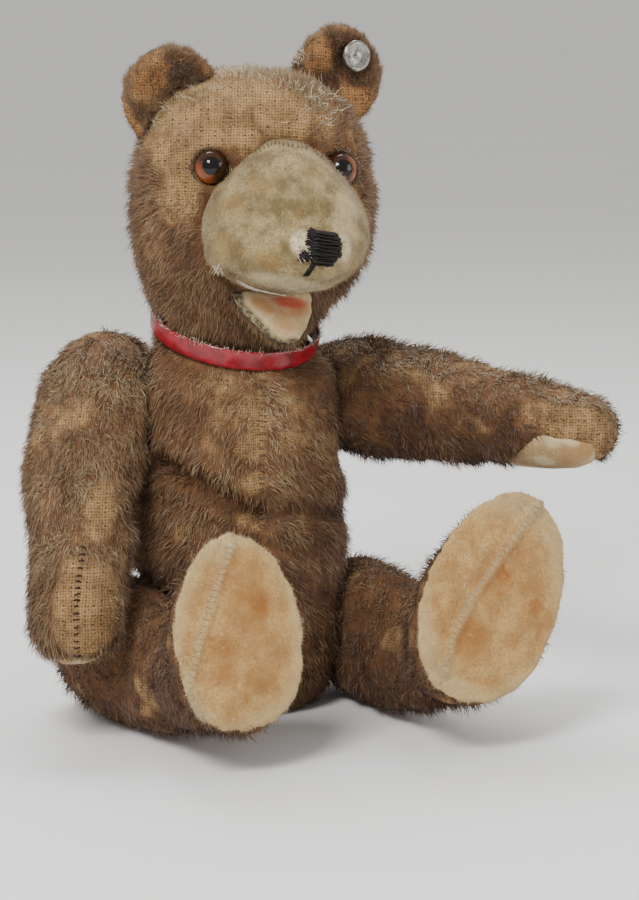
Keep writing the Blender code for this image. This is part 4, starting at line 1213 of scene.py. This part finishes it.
def limbLine(kind, side):
    # where a limb starts and the way it points
    sign = 1 if side == "left" else -1
    if kind == "arm":
        swing = math.radians(88 if side == "left" else 45)
        line = np.array([0.29237 * sign, -0.9563, 0]) * math.sin(swing) - np.array([0, 0, math.cos(swing)])
        return np.array([0.0255 * sign, 0.002, 0.0915]), line
    return np.array([0.025 * sign, 0, 0.021]), np.array([0.14781, -0.98902, 0])


# shadeUnder: how far painted shade darkens each limb's sides and underside
limbLook = {
    "arm_left": {"blades": 29000, "tone": 0.0, "shadeUnder": 0.16,
                 "worn": [(580, 435, 42, 34, 0, 0.95), (470, 425, 30, 12, 0, 0.4), (540, 410, 26, 12, 0, 0.5)]},
    "arm_right": {"blades": 31000, "tone": 0.02, "shadeUnder": 0.05,
                  "worn": [(102, 510, 17, 34, 10, 1.0), (86, 606, 36, 56, 4, 1.0), (50, 420, 14, 40, 0, 0.4)],
                  "fuller": [(128, 552, 12, 30, 0, 1.0)]},
    "leg_left": {"blades": 20000, "tone": -0.08, "shadeUnder": 0.1,
                 "worn": [(400, 640, 24, 16, 0, 0.5)]},
    "leg_right": {"blades": 20000, "tone": -0.06, "shadeUnder": 0.1,
                  "worn": [(330, 560, 20, 14, 0, 0.4)]},
}


def makeLimb(kind, side, seed):
    name = kind + "_" + side
    at = limbLook[name]
    cover = kind + "_cover_" + side
    surface = softForm(kind + "Plush_" + side, [cover, kind + "_stuffing_" + side], limbVoxel, 10)
    pad, other = ("paw_pad_", "leg_cover_") if kind == "arm" else ("foot_pad_", "arm_cover_")
    neighbours = ("body_cover", "head_cover", "collar", pad + side, other + side)
    swellAsCloth(surface, neighbours)
    start, line = limbLine(kind, side)

    def shape(points, normals):
        along = (points - start) @ line
        fuller = patches(photoPlace(points), at.get("fuller", []))
        fuller = fuller * smoothStep(0.3, 0.8, normals @ viewRight) * 0.0026
        wrinkle = np.sin(along / 0.011 * math.pi + 4 * cloudNoise(points, 0.02, seed)) * 0.00045
        inner = smoothStep(0.2, 0.8, -normals[:, 2] if kind == "arm" else normals[:, 2])
        uneven = lumps(points, (0.0015, 0.014, seed + 1), (0.0007, 0.005, seed + 2))
        return uneven + wrinkle * (0.4 + inner) + fuller

    moved(surface, shape)
    lieAbove(surface, 0.0003)
    points, normals = meshArrays(surface)

    def wear(points, normals):
        return ownWear(points, normals, at["worn"], 0.0026, seed + 3)

    noteOnSurface(surface, "bare", smoothStep(0.2, 0.6, wear(points, normals)))
    layBoxMap(surface)
    surface.data.materials.append(wornCloth)
    finish(surface, name, "mohair", cover, fill=0.9)
    hidden = closeTo(points, neighbours, 0.0005)

    def look(points, normals):
        bare = wear(points, normals)
        density = thinned(1 - 0.82 * bare, hidden)
        length = limbLength * (1 - 0.55 * bare) * (0.7 + 0.6 * cloudNoise(points, 0.01, seed + 5))
        up = smoothStep(0.0, 0.9, normals[:, 2])
        tone = 0.30 + at["tone"] + 0.34 * cloudNoise(points, 0.009, seed + 6) + 0.16 * up + 0.1 * bare
        # painted shade: tone lowered on the sides and undersides, away from the top
        return density, length * smoothStep(-0.001, 0.005, points[:, 2]), tone - at["shadeUnder"] * (1 - up)

    def comb(points, normals):
        flow = np.tile(line, (len(points), 1))
        flow[:, 2] -= 0.35
        flow += 0.8 * swirl(points, 0.015, seed + 7)
        return flow

    hair = {**limbPile, "blades": at["blades"]}
    pile = growPile(kind + "Pile_" + side, surface, hair, comb, look, mohairHair, seed)
    lieAbove(pile, 0.0002)
    finish(pile, name, "mohair")


makeLimb("arm", "left", 81)
makeLimb("arm", "right", 91)
makeLimb("leg", "left", 101)
makeLimb("leg", "right", 111)
print("limbs done")

# Soles and paw pads

soleLook = {
    "right": {
        "ridge": [(232, 545), (215, 590), (200, 640), (188, 690), (206, 725)],
        "stains": [(250, 610, 26, 30, 10, 0.9), (225, 660, 18, 28, 0, 0.8),
                   (262, 670, 20, 26, 0, 0.7), (240, 570, 22, 14, 0, 0.5)],
    },
    "left": {
        "ridge": [(543, 500), (505, 550), (470, 600), (452, 640), (445, 672)],
        "stains": [(500, 570, 22, 34, 30, 0.9), (470, 640, 20, 24, 20, 0.8), (530, 600, 16, 30, 20, 0.6)],
    },
}
soleVelvet = velvetMaterial(
    "soleVelvet", (0.46, 0.290, 0.110), (0.33, 0.178, 0.060), (0.25, 0.100, 0.025), (0.50, 0.41, 0.215))
pawVelvet = velvetMaterial("pawVelvet", (0.50, 0.36, 0.18), (0.34, 0.22, 0.10), (0.26, 0.13, 0.045))


def makeSole(side, seed):
    at = soleLook[side]
    surface = softForm("soleVelvet_" + side, ["foot_pad_" + side, "insole_" + side], 0.0009, 4)
    low, high = (np.array(corner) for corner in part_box("foot_pad_" + side))
    middle, half = (low + high) / 2, (high - low) / 2

    def edge(points):
        return np.hypot((points[:, 0] - middle[0]) / half[0], (points[:, 2] - middle[2]) / half[2])

    def shape(points, normals):
        away, _ = nearLine(photoPlace(points), at["ridge"])
        ridge = np.exp(-((away / 4.0) ** 2)) * facing(normals)
        beside = np.exp(-(((away - 9) / 5) ** 2)) * facing(normals)
        crown = 0.0016 * smoothStep(1.0, 0.3, edge(points)) * facing(normals)
        return 0.0008 * ridge - 0.0006 * beside + crown + lumps(points, (0.0012, 0.009, seed))

    moved(surface, shape)
    points, normals = meshArrays(surface)
    place = photoPlace(points)
    away, _ = nearLine(place, at["ridge"])
    rim = smoothStep(0.74, 0.95, edge(points) + 0.12 * (cloudNoise(points, 0.006, seed + 1) - 0.5))
    stain = patches(place, at["stains"]) * facing(normals) * (1 - rim)
    noteOnSurface(surface, "stain", stain * (0.25 + 0.75 * cloudNoise(points, 0.004, seed + 3)))
    pale = 0.42 * rim + 0.4 * np.exp(-((away / 3) ** 2)) * facing(normals)
    noteOnSurface(surface, "pale", np.clip(pale, 0, 0.6))
    layBoxMap(surface)
    surface.data.materials.append(soleVelvet)
    finish(surface, "leg_" + side, "velvet", "foot_pad_" + side)

    def look(points, normals):
        rim = smoothStep(0.70, 0.95, edge(points))
        ridgeAway, _ = nearLine(photoPlace(points), at["ridge"])
        nearRidge = np.exp(-((ridgeAway / 3.5) ** 2)) * facing(normals)
        tone = 0.64 + 0.2 * cloudNoise(points, 0.006, seed + 2) + 0.12 * nearRidge + 0.08 * rim
        return 0.3 + 0.7 * rim + 2.0 * nearRidge, 0.0006 + 0.0005 * rim + 0.0005 * nearRidge, tone

    pile = growPile("solePile_" + side, surface, {**muzzleLook["pile"], "blades": 14000},
                    lambda p, n: unit(p - middle), look, mohairHair, seed)
    lieAbove(pile, 0.0002)
    finish(pile, "leg_" + side, "velvet")


makeSole("left", 121)
makeSole("right", 131)


def makePaw(side, seed):
    surface = softForm("pawVelvet_" + side, ["paw_pad_" + side], 0.0008, 3)
    moved(surface, lambda p, n: lumps(p, (0.0006, 0.006, seed)))
    points, normals = meshArrays(surface)
    noteOnSurface(surface, "stain", smoothStep(0.5, 0.8, cloudNoise(points, 0.008, seed + 1)) * 0.7)
    noteOnSurface(surface, "pale", smoothStep(0.5, 0.8, cloudNoise(points, 0.005, seed + 2)) * 0.5)
    layBoxMap(surface)
    surface.data.materials.append(pawVelvet)
    finish(surface, "arm_" + side, "pad_velvet", "paw_pad_" + side)


makePaw("left", 141)
makePaw("right", 151)
print("pads done")

# Jaw: cream cloth inside, plush under it

jawVelvet = velvetMaterial("jawVelvet", (0.54, 0.41, 0.22), (0.38, 0.265, 0.125), (0.34, 0.15, 0.04))


def paintedJaw():
    # the velvet again, with painted red along the lip and a dusty plush edge
    material = jawVelvet
    tree = material.node_tree
    socket = tree.nodes["Principled BSDF"].inputs["Base Color"]
    colour = socket.links[0].from_socket
    colour = mixColours(tree, surfaceNote(tree, "paint"), colour, (0.36, 0.075, 0.04))
    tufts = objectNoise(tree, 0.0012, 2.0)
    plush = mixColours(tree, rangeOf(tree, tufts, 0.35, 0.7), (0.055, 0.042, 0.022), (0.24, 0.20, 0.11))
    tree.links.new(mixColours(tree, surfaceNote(tree, "edge"), colour, plush), socket)


paintedJaw()


jawLook = {
    "rim": [(234, 284), (239, 307), (257, 325), (271, 340), (285, 348), (293, 343)],
    "red": [(290, 302, 20, 6, 8, 0.9)],
    "smear": [(290, 310, 16, 8, 0, 1.0)],
    "stains": [(262, 305, 16, 8, 20, 0.8), (285, 325, 14, 12, 0, 0.6), (300, 312, 10, 8, 0, 0.7)],
    "blades": 4500,
}


def makeJaw():
    surface = softForm("jawCloth", ["lower_jaw"], 0.0007, 4)
    moved(surface, lambda p, n: lumps(p, (0.0006, 0.005, 161)))
    points, normals = meshArrays(surface)
    place = photoPlace(points)
    down = np.clip((place[:, 1] - 292) / 54, 0, 1)  # drawn in sideways to the photograph's tongue
    middle = 281 + 4 * down
    wanted = 272 + 15 * down + (place[:, 0] - middle) * (1.12 - 0.30 * down)
    points += viewRight * ((wanted - place[:, 0]) / focal * photoView["distance"])[:, None]
    setPoints(surface, points)
    points, normals = meshArrays(surface)
    place = photoPlace(points)
    rim, _ = nearLine(place, jawLook["rim"])
    front = facing(normals)
    noteOnSurface(surface, "edge", np.maximum(1 - smoothStep(4, 9, rim), 1 - front))
    red = patches(place, jawLook["red"]) * front
    noteOnSurface(surface, "paint", np.clip(red + 0.25 * patches(place, jawLook["smear"]), 0, 1))
    noteOnSurface(surface, "stain", patches(place, jawLook["stains"]))
    noteOnSurface(surface, "pale", 0.35 * cloudNoise(points, 0.003, 162))
    layBoxMap(surface)
    surface.data.materials.append(jawVelvet)
    finish(surface, "head", "velvet", "lower_jaw")
    away = unitOf(inHead(0, -0.0235, -0.0268) - inHead(0, -0.052, -0.006))

    def look(points, normals):
        under = smoothStep(-0.1, 0.5, normals @ away)
        return under, 0.0028 + 0 * under, 0.34 + 0.3 * cloudNoise(points, 0.005, 163)

    pile = growPile("jawPile", surface, {**earLook["pile"], "blades": jawLook["blades"]},
                    lambda p, n: np.tile([0.0, -0.4, -1.0], (len(p), 1)), look, mohairHair, 16)
    finish(pile, "head", "mohair")


makeJaw()
print("jaw done")

# Seams: dark stitches along the front, the paw and the soles


def stitchRow(tree, line, gap, width, lift, seed):
    # short stitches across a seam that is drawn over the photograph
    rng = np.random.default_rng(seed)
    line = np.array(line, float)
    steps = np.linalg.norm(np.diff(line, axis=0), axis=1)
    lines = []
    at = gap * 0.5
    while at < steps.sum():
        k = int(np.searchsorted(np.cumsum(steps), at))
        k = min(k, len(steps) - 1)
        part = (at - steps[:k].sum()) / steps[k]
        spot = line[k] + part * (line[k + 1] - line[k])
        ahead = (line[k + 1] - line[k]) / steps[k]
        across = np.array([-ahead[1], ahead[0]]) * width * (0.7 + 0.6 * rng.random())
        skew = ahead * rng.normal(0, 0.7)
        pixels = [spot + (across + skew) * t for t in (-1, -0.5, 0, 0.5, 1)]
        stitch = overSurface(tree, pixels, [-0.0003, lift, lift * 1.2, lift, -0.0003])
        lines.append((stitch, 0.8 + 0.4 * rng.random()))
        at += gap * (0.8 + 0.4 * rng.random())
    return whole(lines)


# body, carrier, thread, thickness, line in the photograph, stitch gap, stitch width, height
seamRows = {
    "seamFront": ("body", "bodyPlush", brownThread, 0.00017,
                  [(264, 378), (263, 420), (262, 460), (262, 500), (263, 530)], 7.0, 4.0, 0.0007),
    "seamPaw": ("arm_right", "armPlush_right", blackThread, 0.00020,
                [(84, 545), (79, 575), (76, 610), (76, 640), (78, 660)], 6.5, 3.2, 0.0005),
    "seamTip": ("arm_left", "armPlush_left", brownThread, 0.00016,
                [(548, 404), (575, 402), (600, 410), (618, 428)], 6.0, 2.6, 0.0005),
    "seamSole_right": ("leg_right", "soleVelvet_right", tanThread, 0.00013,
                       soleLook["right"]["ridge"], 6.0, 4.0, 0.0005),
    "seamSole_left": ("leg_left", "soleVelvet_left", tanThread, 0.00013,
                      soleLook["left"]["ridge"], 6.0, 4.0, 0.0005),
    "seamMuzzle": ("head", "muzzleVelvetSkin", brownThread, 0.00014,
                   [(201, 226), (202, 208), (214, 180), (242, 156), (274, 143), (312, 148), (338, 172)],
                   4.5, 2.2, 0.0004),
}


def makeSeams():
    for seed, (name, row) in enumerate(seamRows.items()):
        body, carrier, skin, thick, line, gap, width, lift = row
        lines = stitchRow(treeOf(pieces[carrier]), line, gap, width, lift, 180 + seed)
        finish(threadPiece(name, lines, thick, skin, 4), body, "thread")


makeSeams()

# Pale loose ends: carrier, middle and spread in the photograph, how many, length, lean
tuftSpots = {
    "earTufts": ("earPlush_left", (297, 58), 5.5, 110, 0.0036, (-0.3, -0.2, 0.5)),
    "tornCorner": ("muzzleVelvetSkin", (219, 267), 2.6, 60, 0.0028, (-0.1, -0.2, -1.0)),
    "cheekWisps": ("headPlush", (318, 96), 16.0, 120, 0.0045, (0.3, -0.2, 0.2)),
}


def makeTufts():
    for seed, (name, (carrier, spot, spread, count, reach, lean)) in enumerate(tuftSpots.items()):
        rng = np.random.default_rng(191 + seed)
        tree = treeOf(pieces[carrier])
        lines = []
        for _ in range(count):
            start, ray = rayThrough(*(np.array(spot) + rng.normal(0, spread, 2)))
            hit, normal, _, _ = tree.ray_cast(start, ray)
            sway = Vector(rng.normal(0, 0.45, 3))
            length = reach * (0.4 + 0.6 * rng.random())
            if hit is None:
                continue
            ahead = (normal * 0.5 + Vector(lean) + sway).normalized()
            bend = Vector(rng.normal(0, 0.25, 3))
            line = [hit - normal * 0.0002]
            for k in range(3):
                line.append(line[-1] + (ahead + bend * k).normalized() * length / 3)
            lines.append((line, 1.0))
        finish(threadPiece(name, lines, 0.00007, strawThread, 3), "head", "thread")


makeTufts()
print("seams done")

# Collar: narrow glossy red band with a frayed edge


collarLook = {
    "axis": (0.083374, -0.291354, 0.952975),
    "taller": 0.35,
    "raise": 0.0010,
    "flare": 0.05,
    "frayed": 420,
    "thread": 0.00006,
}


def redBandMaterial(name, light, dark, gloss):
    material, tree, shader = startMaterial(
        name, 0.35, Specular_IOR_Level=0.5, Coat_Weight=gloss, Coat_Roughness=0.2)
    cloudy = objectNoise(tree, 0.004, 4.0)
    colour = mixColours(tree, rangeOf(tree, cloudy, 0.3, 0.7), dark, light)
    scuff = objectNoise(tree, 0.0012, 4.0, 0.7)
    colour = mixColours(tree, rangeOf(tree, scuff, 0.66, 0.78, 0.0, 0.4), colour, (0.62, 0.42, 0.33))
    tree.links.new(colour, shader.inputs["Base Color"])
    tree.links.new(rangeOf(tree, scuff, 0.4, 0.75, 0.28, 0.6), shader.inputs["Roughness"])
    addBump(tree, shader, objectNoise(tree, 0.0007, 4.0), 0.35, 0.0002)
    return material


redBand = redBandMaterial("redBand", (0.30, 0.003, 0.013), (0.14, 0.0015, 0.006), 0.35)
redLining = redBandMaterial("redLining", (0.48, 0.10, 0.075), (0.28, 0.03, 0.02), 0.0)


def makeCollar():
    band = fineCopy("collarBand", "collar")
    band.data.materials.append(redBand)
    points, _ = meshArrays(band)
    axis = np.array(collarLook["axis"])
    middle = points.mean(0)
    away = points - middle
    radial = unit(away - (away @ axis)[:, None] * axis)
    height = away @ axis
    points = points + axis * (height * collarLook["taller"] + collarLook["raise"])[:, None]
    points = points + radial * (0.0002 + collarLook["flare"] * height)[:, None]
    setPoints(band, points)
    points, normals = meshArrays(band)
    finish(band, "body", "red_band", "collar")
    rng = np.random.default_rng(171)
    outside = np.where(((normals * radial).sum(1) > 0.3) & (height > np.percentile(height, 72)))[0]
    lines = []
    for k in rng.choice(outside, collarLook["frayed"]):
        start = points[k]
        tilt = axis * (0.4 + 0.8 * rng.random()) + radial[k] * 0.5 + rng.normal(0, 0.5, 3)
        tilt /= np.linalg.norm(tilt)
        reach = 0.0006 + 0.0011 * rng.random()
        bend = rng.normal(0, 0.0002, 3)
        lines.append(([start - tilt * 0.0002, start + tilt * reach * 0.5 + bend, start + tilt * reach], 1.0))
    fray = threadPiece("collarFray", lines, collarLook["thread"], strawThread, 3)
    finish(fray, "body", "thread")


makeCollar()
print("collar done")

# Ear stud: a plain turned disc


def metalMaterial(name, colour, dull, roughness):
    material, tree, shader = startMaterial(name, roughness, Metallic=1.0)
    tarnish = objectNoise(tree, 0.0016, 4.0, 0.65)
    colour = mixColours(tree, rangeOf(tree, tarnish, 0.4, 0.72), colour, dull)
    tree.links.new(colour, shader.inputs["Base Color"])
    tree.links.new(rangeOf(tree, tarnish, 0.3, 0.75, roughness, roughness + 0.3), shader.inputs["Roughness"])
    addBump(tree, shader, objectNoise(tree, 0.0004, 3.0), 0.2, 0.0001)
    return material


studMetal = metalMaterial("studMetal", (0.34, 0.32, 0.29), (0.09, 0.075, 0.06), 0.22)


studLook = {"radius": 0.0048, "rings": 3, "height": 0.00022}


def makeStud():
    stud = fineCopy("studDisc", "ear_stud")
    points, normals = meshArrays(stud)
    middle = points.mean(0)
    outward = unitOf(normals[normals @ viewBack > 0.8].mean(0))
    away = points - middle
    radius = np.linalg.norm(away - (away @ outward)[:, None] * outward, axis=1)
    rings = np.cos(radius / studLook["radius"] * studLook["rings"] * math.pi)
    push = studLook["height"] * rings * smoothStep(0.3, 0.8, normals @ outward)
    setPoints(stud, points + normals * push[:, None])
    stud.data.materials.append(studMetal)
    finish(stud, "head", "steel", "ear_stud")


makeStud()
print("stud done")

# What stays inside gets its own finish too


def plainMaterial(name, light, dark, size, roughness, metallic=0.0, bump=0.0003):
    material, tree, shader = startMaterial(name, roughness, Metallic=metallic)
    noise = objectNoise(tree, size, 5.0, 0.65)
    colour = mixColours(tree, rangeOf(tree, noise, 0.3, 0.7), dark, light)
    tree.links.new(colour, shader.inputs["Base Color"])
    addBump(tree, shader, noise, 0.5, bump)
    return material


insideSkins = {
    "stuffing": plainMaterial("woodWool", (0.62, 0.46, 0.24), (0.32, 0.21, 0.09), 0.0015, 0.9, bump=0.0008),
    "insole": plainMaterial("card", (0.42, 0.33, 0.21), (0.30, 0.22, 0.13), 0.001, 0.9),
    "disc": plainMaterial("fibreBoard", (0.20, 0.12, 0.065), (0.11, 0.06, 0.03), 0.0012, 0.8),
    "washer": metalMaterial("washerSteel", (0.45, 0.44, 0.42), (0.20, 0.16, 0.12), 0.35),
    "pin": metalMaterial("pinSteel", (0.40, 0.39, 0.37), (0.17, 0.13, 0.10), 0.4),
    "mouth_lining": redLining,
}
for nodeName, node in nodes.items():
    for word, skin in insideSkins.items():
        if word in nodeName:
            node.data.materials.clear()
            node.data.materials.append(skin)
print("inside parts finished")

# Floor and light

studioLook = {
    "floor": 70.0,
    "lamps": [
        ("keyLamp", (-0.55, -0.80, 0.85), 0.35, 16.0),
        ("fillLamp", (0.80, -0.55, 0.35), 0.50, 3.0),
        ("topLamp", (0.05, 0.45, 0.90), 0.50, 6.0),
    ],
    "lit": (0, -0.02, 0.09),
    "air": 0.72,
}


def makeStudio():
    bm = bmesh.new()
    bmesh.ops.create_grid(bm, x_segments=1, y_segments=1, size=studioLook["floor"])
    mesh = bpy.data.meshes.new("floor")
    bm.to_mesh(mesh)
    bm.free()
    floor = newObject("floor", mesh)
    material, tree, shader = startMaterial("paleFloor", 0.9)
    noise = objectNoise(tree, 0.4, 3.0)
    colour = mixColours(tree, rangeOf(tree, noise, 0.3, 0.7), (0.80, 0.795, 0.785), (0.83, 0.825, 0.815))
    tree.links.new(colour, shader.inputs["Base Color"])
    floor.data.materials.append(material)
    for name, place, size, power in studioLook["lamps"]:
        data = bpy.data.lights.new(name, "AREA")
        data.shape = "SQUARE"
        data.size = size
        data.energy = power
        lamp = newObject(name, data)
        lamp.location = place
        toBear = Vector(studioLook["lit"]) - Vector(place)
        lamp.rotation_euler = toBear.to_track_quat("-Z", "Y").to_euler()
    world = bpy.data.worlds.new("studio")
    world.use_nodes = True
    air = world.node_tree.nodes["Background"]
    air.inputs["Color"].default_value = (1.0, 0.985, 0.96, 1)
    air.inputs["Strength"].default_value = studioLook["air"]
    bpy.context.scene.world = world


makeStudio()
print("floor and light done")

made = [sum(len(p.vertices) - 2 for p in piece.data.polygons) for piece in pieces.values()]
print("triangles", sum(made), "and at most", max(made), "in a piece")
